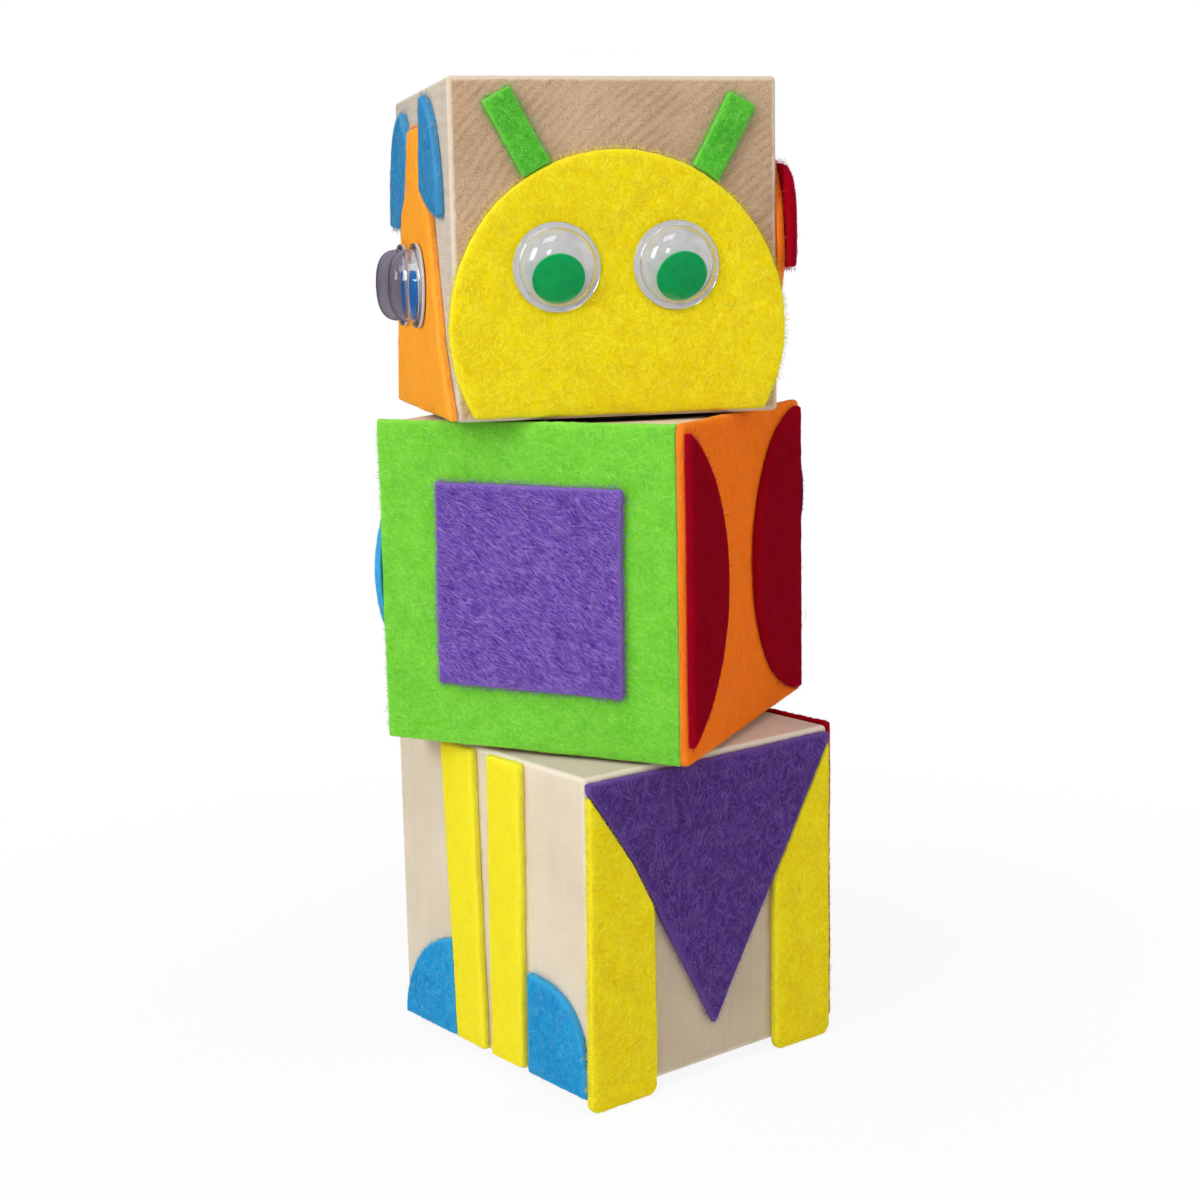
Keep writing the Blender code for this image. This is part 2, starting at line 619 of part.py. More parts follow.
def inner_leg(side):
    """A yellow leg beside the triangle: its top is cut along the triangle's edge."""
    left, bend, tip, right = skirt_points()
    inner = INNER_LEG_SHIFT + side * INNER_LEG_GAP / 2
    if side < 0:
        outer = left[0] - LEFT_LEG_FLARE
        edge = [(inner, rise(tip, bend, inner)), bend, left]
    else:
        outer = right[0]
        edge = [(inner, rise(tip, right, inner)), right]
    slope = (right[1] - tip[1]) / (right[0] - tip[0])
    drop = CUT_GAP * math.hypot(1, slope)
    corner = LEG_CORNER_ROUND
    heel = arc((outer - side * corner, corner - LEG_HANG), side * corner, corner, 0, -90, CORNER_STEPS)
    toe = arc((inner + side * corner, corner - LEG_HANG), -side * corner, corner, -90, 0, CORNER_STEPS)
    return [*heel, *toe, *[(u, v - drop) for u, v in edge]]


def legs_felt(legs):
    """Strips and shoes, triangle and legs, red trousers, and green strips behind."""
    for name, side in (("left", -1), ("right", 1)):
        felt(name + "_leg_strip", strip_outline(side), YELLOW, legs, FRONT)
        felt(name + "_shoe", shoe_outline(side), BLUE, legs, FRONT)
        felt("skirt_" + name + "_leg", inner_leg(side), YELLOW, legs, RIGHT)

    corners = skirt_points()
    top = CUBE_SIDE - SKIRT_TOP_MARGIN
    skirt = [*corners, (corners[-1][0], top), (corners[0][0], top)]
    felt("skirt_triangle", skirt, PURPLE, legs, RIGHT)

    half = HALF_SIDE - TROUSER_MARGIN
    split = TROUSER_SPLIT_WIDTH / 2
    low = TROUSER_MARGIN
    high = CUBE_SIDE + TROUSER_RISE
    trousers = [(-half, low), (-split, low), (-split, TROUSER_SPLIT_HEIGHT), (split, TROUSER_SPLIT_HEIGHT),
                (split, low), (half, low), (half, high), (-half, high)]
    felt("red_trousers", trousers, RED, legs, BACK)
    for name, side in (("left", -1), ("right", 1)):
        ends = sorted((side * REAR_STRIP_GAP / 2, side * (REAR_STRIP_GAP / 2 + REAR_STRIP_WIDTH)))
        strip = box_outline(*ends, REAR_STRIP_MARGIN, CUBE_SIDE - REAR_STRIP_MARGIN)
        felt("rear_" + name + "_strip", strip, GREEN, legs, LEFT)


def main():
    """Build the three cubes from the floor up, with their pads and felt."""
    clear_scene()
    legs = empty("legs_axis", (0, 0, LEGS_BASE), LEGS_TURN_DEG)
    body = empty("body_axis", (BODY_OFFSET_X, BODY_OFFSET_Y, BODY_BASE), BODY_TURN_DEG)
    head = empty("head_axis", (HEAD_OFFSET_X, HEAD_OFFSET_Y, HEAD_BASE))

    cube("legs_block", legs)
    cube("body_block", body)
    cube("head_block", head)

    hook_base = -PAD_GAP - HOOK_PAD_THICK
    loop_base = CUBE_SIDE + PAD_GAP
    round_pad("foot_pad", legs, FOOT_PAD_DIAMETER, FOOT_PAD_THICK, -LEGS_BASE, FOOT)
    round_pad("legs_loop_pad", legs, PAD_DIAMETER, LOOP_PAD_THICK, loop_base, LOOP)
    round_pad("body_hook_pad", body, PAD_DIAMETER, HOOK_PAD_THICK, hook_base, HOOK)
    round_pad("body_loop_pad", body, PAD_DIAMETER, LOOP_PAD_THICK, loop_base, LOOP)
    round_pad("head_hook_pad", head, HEAD_PAD_DIAMETER, HOOK_PAD_THICK, hook_base, HOOK)

    legs_felt(legs)
    body_felt(body)
    head_front(head)
    head_left_side(head)
    head_right_side(head)
    head_back(head)


main()
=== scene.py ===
"""Looks of a stacking felt figure: three wooden cubes dressed in cut felt, with googly eyes.

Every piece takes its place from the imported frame. A felt sheet follows the outline of its solid and
gets soft cut edges and loose fibres; cubes, eyes and pads are made again with finer surfaces.
"""
import json
import logging
import math
from collections.abc import Callable
from dataclasses import dataclass, field
from enum import Enum
from typing import Union

import bmesh
import bpy
import numpy as np
from mathutils import Matrix, Vector, noise
from mathutils.geometry import delaunay_2d_cdt

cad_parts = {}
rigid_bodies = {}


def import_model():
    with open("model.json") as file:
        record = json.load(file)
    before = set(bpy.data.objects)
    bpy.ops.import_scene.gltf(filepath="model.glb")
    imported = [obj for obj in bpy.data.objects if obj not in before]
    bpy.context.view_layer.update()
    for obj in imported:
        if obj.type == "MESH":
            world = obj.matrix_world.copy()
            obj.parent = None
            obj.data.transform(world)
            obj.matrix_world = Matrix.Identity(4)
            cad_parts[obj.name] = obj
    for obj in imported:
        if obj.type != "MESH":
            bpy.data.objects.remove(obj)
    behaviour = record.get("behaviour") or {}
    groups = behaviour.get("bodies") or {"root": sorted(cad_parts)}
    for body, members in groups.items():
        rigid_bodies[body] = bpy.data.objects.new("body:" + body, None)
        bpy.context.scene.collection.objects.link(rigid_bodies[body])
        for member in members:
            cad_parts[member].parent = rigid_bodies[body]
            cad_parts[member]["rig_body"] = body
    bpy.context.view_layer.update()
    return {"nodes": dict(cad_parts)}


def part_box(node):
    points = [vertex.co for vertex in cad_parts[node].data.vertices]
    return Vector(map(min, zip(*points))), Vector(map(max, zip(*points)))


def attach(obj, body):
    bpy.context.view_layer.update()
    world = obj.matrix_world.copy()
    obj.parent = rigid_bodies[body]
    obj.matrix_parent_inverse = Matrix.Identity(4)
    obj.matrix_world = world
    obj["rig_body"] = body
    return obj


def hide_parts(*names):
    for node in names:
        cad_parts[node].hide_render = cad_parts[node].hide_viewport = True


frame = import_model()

LOG = logging.getLogger("felt_figure")

MM = 0.001
UP = Vector((0.0, 0.0, 1.0))
WHITE = (255, 255, 255)

Colour = tuple[float, float, float]
Point = tuple[float, float, float]
Profile = list[tuple[float, float]]
Socket = bpy.types.NodeSocket
Feed = Union[Socket, float, tuple]


def paint(colour: Colour) -> tuple[float, float, float, float]:
    """Turn a colour written as 0 to 255 screen values into linear light.

    Args:
        colour: red, green and blue as a screen shows them.

    Returns:
        Linear red, green and blue, with a full alpha.
    """
    linear = []
    for value in colour:
        share = value / 255.0
        linear.append(share / 12.92 if share <= 0.04045 else ((share + 0.055) / 1.055) ** 2.4)
    return (*linear, 1.0)


class Graph:
    """Short calls that add and join shader nodes in one node tree."""

    def __init__(self, tree: bpy.types.NodeTree) -> None:
        """Keep the tree that the nodes go into."""
        self.tree = tree

    def add(self, kind: str, **settings: object) -> bpy.types.Node:
        """Add a node.

        Args:
            kind: the node's Blender type.
            settings: properties to set on it.

        Returns:
            The new node.
        """
        node = self.tree.nodes.new(kind)
        for name, value in settings.items():
            setattr(node, name, value)
        return node

    def feed(self, socket: Socket, value: Feed) -> None:
        """Join a socket to another one, or set its own value."""
        if isinstance(value, Socket):
            self.tree.links.new(value, socket)
        else:
            socket.default_value = value

    def math(self, operation: str, first: Feed, second: Feed = 0.0, clamp: bool = False) -> Socket:
        """Add a Math node.

        Args:
            operation: the node's operation.
            first: its first value.
            second: its second value.
            clamp: True to keep the result within 0 and 1.

        Returns:
            The result's socket.
        """
        node = self.add("ShaderNodeMath", operation=operation, use_clamp=clamp)
        self.feed(node.inputs[0], first)
        self.feed(node.inputs[1], second)
        return node.outputs[0]

    def total(self, *parts: tuple[Feed, float]) -> Socket:
        """Add up values, each times a share of its own.

        Args:
            parts: each value with its share.

        Returns:
            The sum's socket.
        """
        result: Feed = 0.0
        for value, share in parts:
            result = self.math("ADD", result, self.math("MULTIPLY", value, share))
        return result

    def place(self, output: str = "Object") -> Socket:
        """Add a Texture Coordinate node and return one of its outputs."""
        return self.add("ShaderNodeTexCoord").outputs[output]

    def attribute(self, name: str) -> Socket:
        """Read a value that the mesh keeps at each of its points."""
        return self.add("ShaderNodeAttribute", attribute_name=name).outputs["Fac"]

    def split(self, vector: Feed) -> list[Socket]:
        """Add a Separate XYZ node.

        Args:
            vector: what is split.

        Returns:
            The vector's three parts.
        """
        node = self.add("ShaderNodeSeparateXYZ")
        self.feed(node.inputs[0], vector)
        return list(node.outputs)

    def vector(self, operation: str, first: Feed, second: Feed = (0.0, 0.0, 0.0)) -> Socket:
        """Add a Vector Math node.

        Args:
            operation: the node's operation.
            first: its first vector.
            second: its second vector.

        Returns:
            The resulting vector's socket, or the value's for a length.
        """
        node = self.add("ShaderNodeVectorMath", operation=operation)
        self.feed(node.inputs[0], first)
        self.feed(node.inputs[1], second)
        return node.outputs["Value" if operation == "LENGTH" else "Vector"]

    def noise(self, vector: Feed, scale: float, detail: float = 2.0, output: str = "Fac") -> Socket:
        """Add a Noise Texture.

        Args:
            vector: where it is read.
            scale: spots per unit of the vector.
            detail: octaves of finer noise.
            output: Fac, or Color for three values.

        Returns:
            The chosen output.
        """
        node = self.add("ShaderNodeTexNoise")
        self.feed(node.inputs["Vector"], vector)
        node.inputs["Scale"].default_value = scale
        node.inputs["Detail"].default_value = detail
        return node.outputs[output]

    def spread(self, value: Feed, low: float, high: float, to_low: Feed = 0.0,
               to_high: Feed = 1.0) -> Socket:
        """Map a range of values smoothly on another.

        Args:
            value: what is mapped.
            low: the value that becomes to_low.
            high: the value that becomes to_high.
            to_low: the result at low.
            to_high: the result at high.

        Returns:
            The mapped value's socket.
        """
        node = self.add("ShaderNodeMapRange", interpolation_type="SMOOTHSTEP")
        for socket, number in zip(list(node.inputs)[:5], (value, low, high, to_low, to_high)):
            self.feed(socket, number)
        return node.outputs[0]

    def mix(self, share: Feed, first: Feed, second: Feed) -> Socket:
        """Mix two colours.

        Args:
            share: how much of the second colour shows.
            first: the colour at a share of 0.
            second: the colour at a share of 1.

        Returns:
            The mixed colour's socket.
        """
        node = self.add("ShaderNodeMix", data_type="RGBA")
        self.feed(node.inputs["Factor"], share)
        self.feed(node.inputs[6], first)
        self.feed(node.inputs[7], second)
        return node.outputs[2]

    def group(self, shared: bpy.types.NodeTree, **values: Feed) -> bpy.types.Node:
        """Place a shared node group.

        Args:
            shared: the group.
            values: what its inputs get, by their names with _ for a space.

        Returns:
            The group's node.
        """
        node = self.add("ShaderNodeGroup", node_tree=shared)
        for name, value in values.items():
            self.feed(node.inputs[name.replace("_", " ")], value)
        return node

    def bump(self, height: Feed, strength: float, distance: float) -> Socket:
        """Add a Bump node.

        Args:
            height: the relief, 0 to 1.
            strength: how much of it shows.
            distance: how deep it is, in metres.

        Returns:
            The bent normal's socket.
        """
        node = self.add("ShaderNodeBump")
        node.inputs["Strength"].default_value = strength
        node.inputs["Distance"].default_value = distance
        self.feed(node.inputs["Height"], height)
        return node.outputs[0]


def new_group(name: str, inputs: dict[str, str],
              outputs: list[str]) -> tuple[Graph, dict[str, Socket], bpy.types.Node]:
    """Start a shader node group.

    Args:
        name: the group's name.
        inputs: each input's name and kind, Float or Vector.
        outputs: the names of its masks, which are all values.

    Returns:
        The group's graph, its input sockets by name, and its output node.
    """
    tree = bpy.data.node_groups.new(name, "ShaderNodeTree")
    for label, kind in inputs.items():
        tree.interface.new_socket(label, in_out="INPUT", socket_type="NodeSocket" + kind)
    for label in outputs:
        tree.interface.new_socket(label, in_out="OUTPUT", socket_type="NodeSocketFloat")
    graph = Graph(tree)
    entry = graph.add("NodeGroupInput")
    return graph, {label: entry.outputs[label] for label in inputs}, graph.add("NodeGroupOutput")


def felt_group() -> bpy.types.NodeTree:
    """Matted fibres: fine streaks fanned about a nap direction, over soft blotches.

    Returns:
        A group with a Vector, a Fibre Length, a Nap angle and the Fan of directions about it, which
        puts out Fibre, Blotch and Height.
    """
    fan_deg = (0.0, 26.0, -33.0, 64.0, -80.0)
    fibres_per_metre, patches_per_metre, bends_per_metre = 3300.0, 400.0, 230.0
    specks_per_metre, clouds_per_metre, grit_per_metre = 980.0, 190.0, 3600.0
    bend_reach, layer_gap = 0.0012, 0.31
    inputs = {"Vector": "Vector", "Fibre Length": "Float", "Nap": "Float", "Fan": "Float"}
    graph, entry, result = new_group("Matted fibres", inputs, ["Fibre", "Blotch", "Height"])
    bend = graph.noise(entry["Vector"], bends_per_metre, 2.0, "Color")
    bend = graph.vector("SUBTRACT", bend, (0.5, 0.5, 0.5))
    bend = graph.vector("MULTIPLY", bend, (bend_reach, bend_reach, bend_reach))
    bent = graph.vector("ADD", entry["Vector"], bend)
    stretch = graph.add("ShaderNodeCombineXYZ")
    graph.feed(stretch.inputs[0], graph.math("DIVIDE", 1.0, entry["Fibre Length"]))
    stretch.inputs[1].default_value = fibres_per_metre
    stretch.inputs[2].default_value = fibres_per_metre
    fibre: Feed = 0.0
    for number, angle in enumerate(fan_deg):
        turn = graph.add("ShaderNodeVectorRotate", rotation_type="Z_AXIS")
        graph.feed(turn.inputs["Vector"], bent)
        aside = graph.math("MULTIPLY", entry["Fan"], math.radians(angle))
        graph.feed(turn.inputs["Angle"], graph.math("SUBTRACT", aside, entry["Nap"]))
        apart = graph.vector("ADD", turn.outputs[0], (0.0, 0.0, layer_gap * number))
        streak = graph.noise(graph.vector("MULTIPLY", apart, stretch.outputs[0]), 1.0, 1.0)
        line = graph.spread(streak, 0.50, 0.74)
        patch = graph.spread(graph.noise(apart, patches_per_metre), 0.36, 0.60, 0.15, 1.0)
        fibre = graph.math("MAXIMUM", fibre, graph.math("MULTIPLY", line, patch))
    specks = graph.spread(graph.noise(bent, specks_per_metre, 3.0), 0.34, 0.64)
    clouds = graph.spread(graph.noise(bent, clouds_per_metre, 3.0), 0.34, 0.66)
    blotch = graph.total((specks, 0.55), (clouds, 0.45))
    grit = graph.noise(entry["Vector"], grit_per_metre)
    height = graph.total((fibre, 0.6), (specks, 0.35), (grit, 0.25))
    for name, value in (("Fibre", fibre), ("Blotch", blotch), ("Height", height)):
        graph.feed(result.inputs[name], value)
    return graph.tree


def wood_group() -> bpy.types.NodeTree:
    """Wood that grew along Z: year rings round a pith, streaks along the grain, pores and sanding.

    Returns:
        A group with a Vector, a Pith and a Ring Pitch, which puts out Rings, Streaks, Pores and the
        lines of the Sanding across the grain.
    """
    ring_waver, sanding_deg = 0.0050, 9.0
    streak_scale, pore_scale = (1500.0, 1500.0, 42.0), (2600.0, 2600.0, 420.0)
    sanding_scale = (120.0, 120.0, 2300.0)
    inputs = {"Vector": "Vector", "Pith": "Vector", "Ring Pitch": "Float"}
    graph, entry, result = new_group("Wood grain", inputs, ["Rings", "Streaks", "Pores", "Sanding"])
    across = graph.vector("SUBTRACT", entry["Vector"], entry["Pith"])
    across = graph.vector("MULTIPLY", across, (1.0, 1.0, 0.0))
    waver = graph.math("MULTIPLY", graph.noise(entry["Vector"], 45.0, 3.0), ring_waver)
    distance = graph.math("ADD", graph.vector("LENGTH", across), waver)
    turns = graph.math("MULTIPLY", graph.math("DIVIDE", distance, entry["Ring Pitch"]), 2 * math.pi)
    rings = graph.spread(graph.math("SINE", turns), -0.6, 1.0)
    fade = graph.spread(graph.noise(entry["Vector"], 120.0, 2.0), 0.34, 0.64, 0.25, 1.0)
    long_grain = graph.vector("MULTIPLY", entry["Vector"], streak_scale)
    streaks = graph.spread(graph.noise(long_grain, 1.0, 3.0), 0.34, 0.68)
    short_grain = graph.vector("MULTIPLY", entry["Vector"], pore_scale)
    pores = graph.spread(graph.noise(short_grain, 1.0, 1.0), 0.56, 0.70)
    turn = graph.add("ShaderNodeVectorRotate", rotation_type="AXIS_ANGLE")
    graph.feed(turn.inputs["Vector"], entry["Vector"])
    turn.inputs["Axis"].default_value = (1.0, 1.0, 0.0)
    turn.inputs["Angle"].default_value = math.radians(sanding_deg)
    cross_grain = graph.vector("MULTIPLY", turn.outputs[0], sanding_scale)
    sanding = graph.spread(graph.noise(cross_grain, 1.0, 2.0), 0.40, 0.66)
    rings = graph.math("MULTIPLY", rings, fade)
    for name, value in (("Rings", rings), ("Streaks", streaks), ("Pores", pores), ("Sanding", sanding)):
        graph.feed(result.inputs[name], value)
    return graph.tree


def edge_group() -> bpy.types.NodeTree:
    """Where a cube's edges were eased and rubbed.

    Returns:
        A group with a Vector from the cube's middle, a Half Side and a Width, which puts out Edge.
    """
    inputs = {"Vector": "Vector", "Half Side": "Float", "Width": "Float"}
    graph, entry, result = new_group("Eased edge", inputs, ["Edge"])
    across, deep, tall = graph.split(graph.vector("ABSOLUTE", entry["Vector"]))
    most = graph.math("MAXIMUM", graph.math("MAXIMUM", across, deep), tall)
    least = graph.math("MINIMUM", graph.math("MINIMUM", across, deep), tall)
    total = graph.math("ADD", graph.math("ADD", across, deep), tall)
    second = graph.math("SUBTRACT", graph.math("SUBTRACT", total, most), least)
    uneven = graph.math("MULTIPLY", graph.noise(entry["Vector"], 420.0, 3.0), entry["Width"])
    inside = graph.math("SUBTRACT", graph.math("SUBTRACT", entry["Half Side"], second), uneven)
    share = graph.math("DIVIDE", inside, entry["Width"])
    graph.feed(result.inputs["Edge"], graph.spread(share, 0.0, 0.8, 1.0, 0.0))
    return graph.tree


FELT_FIBRES = felt_group()
WOOD_GRAIN = wood_group()
EASED_EDGE = edge_group()


def new_material(name: str) -> tuple[bpy.types.Material, Graph, bpy.types.Node]:
    """Start a material.

    Args:
        name: the material's name.

    Returns:
        The material, its graph and its Principled shader.
    """
    made = bpy.data.materials.new(name)
    made.use_nodes = True
    graph = Graph(made.node_tree)
    return made, graph, made.node_tree.nodes["Principled BSDF"]


@dataclass(frozen=True)
class FeltFinish:
    """Dyed craft felt: the colour of the mat, of its hollows, partly painted shade, and of the fibres that
    catch the light.
    """

    name: str
    mat: Colour
    hollow: Colour
    tips: Colour
    slot: str = ""
    fibre_length: float = 0.0034
    nap_deg: float = 70.0
    fan: float = 1.0
    depth: float = 0.85
    glint: float = 0.65
    # Share of painted light on the cut edge and wall.
    painted_edge_share: float = 0.55
    roughness: float = 0.95
    sheen: float = 0.02
    relief: float = 0.00022
    glow_through: float = 0.40
    glow_reach: float = 0.0016

    def dress(self, shader: bpy.types.Node) -> None:
        """Set the values that are the same all over the felt.

        Args:
            shader: the felt's Principled shader.
        """
        shader.inputs["Roughness"].default_value = self.roughness
        shader.inputs["Specular IOR Level"].default_value = 0.02
        shader.inputs["Sheen Weight"].default_value = self.sheen
        shader.inputs["Sheen Roughness"].default_value = 0.6
        shader.inputs["Sheen Tint"].default_value = paint(self.tips)
        shader.inputs["Subsurface Weight"].default_value = self.glow_through
        shader.inputs["Subsurface Radius"].default_value = (1.0, 1.0, 1.0)
        shader.inputs["Subsurface Scale"].default_value = self.glow_reach

    def sheet_material(self) -> bpy.types.Material:
        """Matted felt, with streaks and blotches.

        Returns:
            The material of a sheet of this felt.
        """
        made, graph, shader = new_material(self.name)
        self.dress(shader)
        place = graph.place()
        fibres = graph.group(FELT_FIBRES, Vector=place, Fibre_Length=self.fibre_length,
                             Nap=math.radians(self.nap_deg), Fan=self.fan)
        # Darker in the low blotches: partly the felt's uneven tone, partly painted shade in the low spots of
        # the relief.
        deep = graph.math("MULTIPLY", graph.math("SUBTRACT", 1.0, fibres.outputs["Blotch"]), self.depth)
        mat = graph.mix(deep, paint(self.mat), paint(self.hollow))
        lit = graph.math("MULTIPLY", fibres.outputs["Fibre"], self.glint)
        # Painted light: the cut edge and wall lighter, towards the colour of the fibres.
        painted_edge_light = graph.attribute("painted_edge_light")
        lit = graph.math("MAXIMUM", lit, graph.math("MULTIPLY", painted_edge_light, self.painted_edge_share))
        graph.feed(shader.inputs["Base Color"], graph.mix(lit, mat, paint(self.tips)))
        graph.feed(shader.inputs["Normal"], graph.bump(fibres.outputs["Height"], 0.8, self.relief))
        return made

    def fibre_material(self) -> bpy.types.Material:
        """Loose fibres, each with its own tone.

        Returns:
            The material of this felt's loose fibres.
        """
        made, graph, shader = new_material(self.name + "_fibres")
        self.dress(shader)
        tone = graph.attribute("tone")
        graph.feed(shader.inputs["Base Color"], graph.mix(tone, paint(self.hollow), paint(self.tips)))
        return made


class Felt(Enum):
    """The felts that the figure is cut from."""

    YELLOW = FeltFinish("yellow_felt", (244, 222, 12), (224, 184, 0), (252, 242, 62), nap_deg=-60.0,
                        depth=0.65, glint=0.8)
    LEMON = FeltFinish("lemon_felt", (240, 225, 37), (231, 209, 20), (252, 242, 76), slot="yellow_felt",
                       depth=0.4, glint=0.3, relief=0.00008)
    GREEN = FeltFinish("green_felt", (122, 211, 58), (86, 180, 34), (158, 232, 98), nap_deg=-35.0, fan=0.7,
                       depth=0.7, glint=0.6)
    LEAF = FeltFinish("leaf_felt", (78, 190, 46), (44, 146, 24), (136, 224, 94), slot="green_felt")
    PURPLE = FeltFinish("purple_felt", (101, 66, 164), (65, 33, 128), (166, 135, 217), nap_deg=-33.0, fan=0.3,
                        glint=0.75)
    GRAPE = FeltFinish("grape_felt", (74, 42, 121), (50, 24, 91), (132, 100, 182), slot="purple_felt",
                       nap_deg=82.0, fan=0.8)
    ORANGE = FeltFinish("orange_felt", (255, 116, 18), (246, 96, 10), (255, 146, 48), nap_deg=84.0, fan=0.6,
                        depth=0.5, glint=0.4, relief=0.00014)
    # A lighter copy of the orange felt for the head's left face: painted light from the lamp on the left.
    ORANGE_PAINTED_LIT = FeltFinish("orange_felt_painted_lit", (255, 158, 42), (255, 138, 26), (255, 177, 68), slot="orange_felt",
                       nap_deg=84.0, fan=0.6, depth=0.4, glint=0.35, relief=0.00005)
    RED = FeltFinish("red_felt", (138, 0, 18), (108, 0, 11), (178, 8, 32), depth=0.5, glint=0.35)
    BLUE = FeltFinish("blue_felt", (18, 148, 212), (2, 108, 176), (84, 188, 234), nap_deg=-50.0, depth=0.7)
    DENIM = FeltFinish("denim_felt", (26, 128, 188), (6, 92, 152), (92, 170, 214), slot="blue_felt",
                       depth=0.7)
    # A much darker copy of the purple felt: painted shade for the middle cube's back panel, whose edge shows
    # as a dark sliver.
    PURPLE_PAINTED_SHADE = FeltFinish("purple_felt_painted_shade", (48, 22, 62), (32, 12, 44), (68, 40, 84), slot="purple_felt", painted_edge_share=0.2)
    FOOT = FeltFinish("foot_felt", (44, 44, 46), (26, 26, 28), (84, 84, 86))


class Grain(Enum):
    """The axis of a cube that its wood grew along, as the order of the axes with that one last."""

    ALONG_Y = (0, 2, 1)
    ALONG_Z = (0, 1, 2)


@dataclass(frozen=True)
class WoodFinish:
    """Bare sanded wood of one cube."""

    name: str
    grain: Grain
    pale: Colour
    dark: Colour
    end_pale: Colour
    end_dark: Colour
    edge: Colour
    pith: Point
    ring_pitch: float
    ring_share: float = 0.12
    streak_share: float = 0.14
    pore_share: float = 0.55
    sanding_share: float = 0.08
    # Painted shade on the faces along the block's x axis.
    side_painted_shade: float = 0.0
    edge_width: float = 0.0011
    roughness: float = 0.62

    def material(self, half_side: float) -> bpy.types.Material:
        """Wood with rings, streaks, pores and pale eased edges.

        Args:
            half_side: half the cube's side.

        Returns:
            The cube's material.
        """
        made, graph, shader = new_material(self.name)
        place = graph.place()
        parts = graph.split(place)
        along = graph.add("ShaderNodeCombineXYZ")
        for socket, axis in zip(along.inputs, self.grain.value):
            graph.feed(socket, parts[axis])
        wood = graph.group(WOOD_GRAIN, Vector=along.outputs[0], Pith=self.pith, Ring_Pitch=self.ring_pitch)
        edge = graph.group(EASED_EDGE, Vector=place, Half_Side=half_side, Width=self.edge_width)
        facing = graph.split(graph.place("Normal"))
        end = graph.spread(graph.math("ABSOLUTE", facing[self.grain.value[2]]), 0.4, 0.8)
        # Painted shade: the faces along the x axis darker, for the lowest cube's shaded right side.
        flat = graph.spread(graph.math("ABSOLUTE", facing[0]), 0.4, 0.8, 0.0, self.side_painted_shade)
        open_share = graph.spread(end, 0.0, 1.0, 0.1, self.pore_share)
        pores = graph.math("MULTIPLY", wood.outputs["Pores"], open_share)
        shares = {"Rings": self.ring_share, "Streaks": self.streak_share, "Sanding": self.sanding_share}
        tone = graph.total(*((wood.outputs[name], share) for name, share in shares.items()))
        cloud = graph.spread(graph.noise(place, 38.0, 3.0), 0.3, 0.7, 0.0, 0.25)
        tone = graph.math("ADD", tone, graph.math("ADD", pores, graph.math("ADD", cloud, flat)), clamp=True)
        long_colour = graph.mix(tone, paint(self.pale), paint(self.dark))
        end_colour = graph.mix(tone, paint(self.end_pale), paint(self.end_dark))
        colour = graph.mix(end, long_colour, end_colour)
        colour = graph.mix(graph.math("MULTIPLY", edge.outputs["Edge"], 0.7), colour, paint(self.edge))
        graph.feed(shader.inputs["Base Color"], colour)
        rough = graph.math("ADD", graph.math("MULTIPLY", tone, 0.18), self.roughness)
        graph.feed(shader.inputs["Roughness"], rough)
        shader.inputs["Specular IOR Level"].default_value = 0.3
        height = graph.math("SUBTRACT", 1.0, tone)
        graph.feed(shader.inputs["Normal"], graph.bump(height, 0.35, 0.00018))
        return made


@dataclass(frozen=True)
class CardFinish:
    """Smooth board or plastic with faint blotches and scuffs."""

    name: str
    base: Colour
    mark: Colour
    roughness: float
    gloss: float = 0.5

    def material(self) -> bpy.types.Material:
        """Colour and gloss that vary a little.

        Returns:
            The material.
        """
        made, graph, shader = new_material(self.name)
        place = graph.place()
        blotch = graph.spread(graph.noise(place, 420.0, 4.0), 0.35, 0.75)
        graph.feed(shader.inputs["Base Color"], graph.mix(blotch, paint(self.base), paint(self.mark)))
        rough = graph.math("ADD", graph.math("MULTIPLY", blotch, 0.15), self.roughness)
        graph.feed(shader.inputs["Roughness"], rough)
        shader.inputs["Specular IOR Level"].default_value = self.gloss
        grit = graph.noise(place, 1900.0, 3.0)
        graph.feed(shader.inputs["Normal"], graph.bump(grit, 0.08, 0.0001))
        return made


@dataclass(frozen=True)
class ClearFinish:
    """Clear moulded plastic that lets the light through to what lies under it."""

    name: str
    tint: Colour
    roughness: float
    index: float
    haze: float = 0.03

    def material(self) -> bpy.types.Material:
        """Clear shader that casts no dark shadow.

        Returns:
            The material.
        """
        made, graph, shader = new_material(self.name)
        shader.inputs["Base Color"].default_value = paint(self.tint)
        shader.inputs["Transmission Weight"].default_value = 1.0
        shader.inputs["IOR"].default_value = self.index
        place = graph.place()
        cloudy = self.roughness + self.haze
        haze = graph.spread(graph.noise(place, 900.0, 3.0), 0.5, 0.8, self.roughness, cloudy)
        graph.feed(shader.inputs["Roughness"], haze)
        ripple = graph.noise(place, 160.0, 2.0)
        graph.feed(shader.inputs["Normal"], graph.bump(ripple, 0.02, 0.0004))
        through = graph.add("ShaderNodeBsdfTransparent")
        either = graph.add("ShaderNodeMixShader")
        graph.feed(either.inputs[0], graph.add("ShaderNodeLightPath").outputs["Is Shadow Ray"])
        graph.feed(either.inputs[1], shader.outputs[0])
        graph.feed(either.inputs[2], through.outputs[0])
        graph.feed(made.node_tree.nodes["Material Output"].inputs["Surface"], either.outputs[0])
        return made


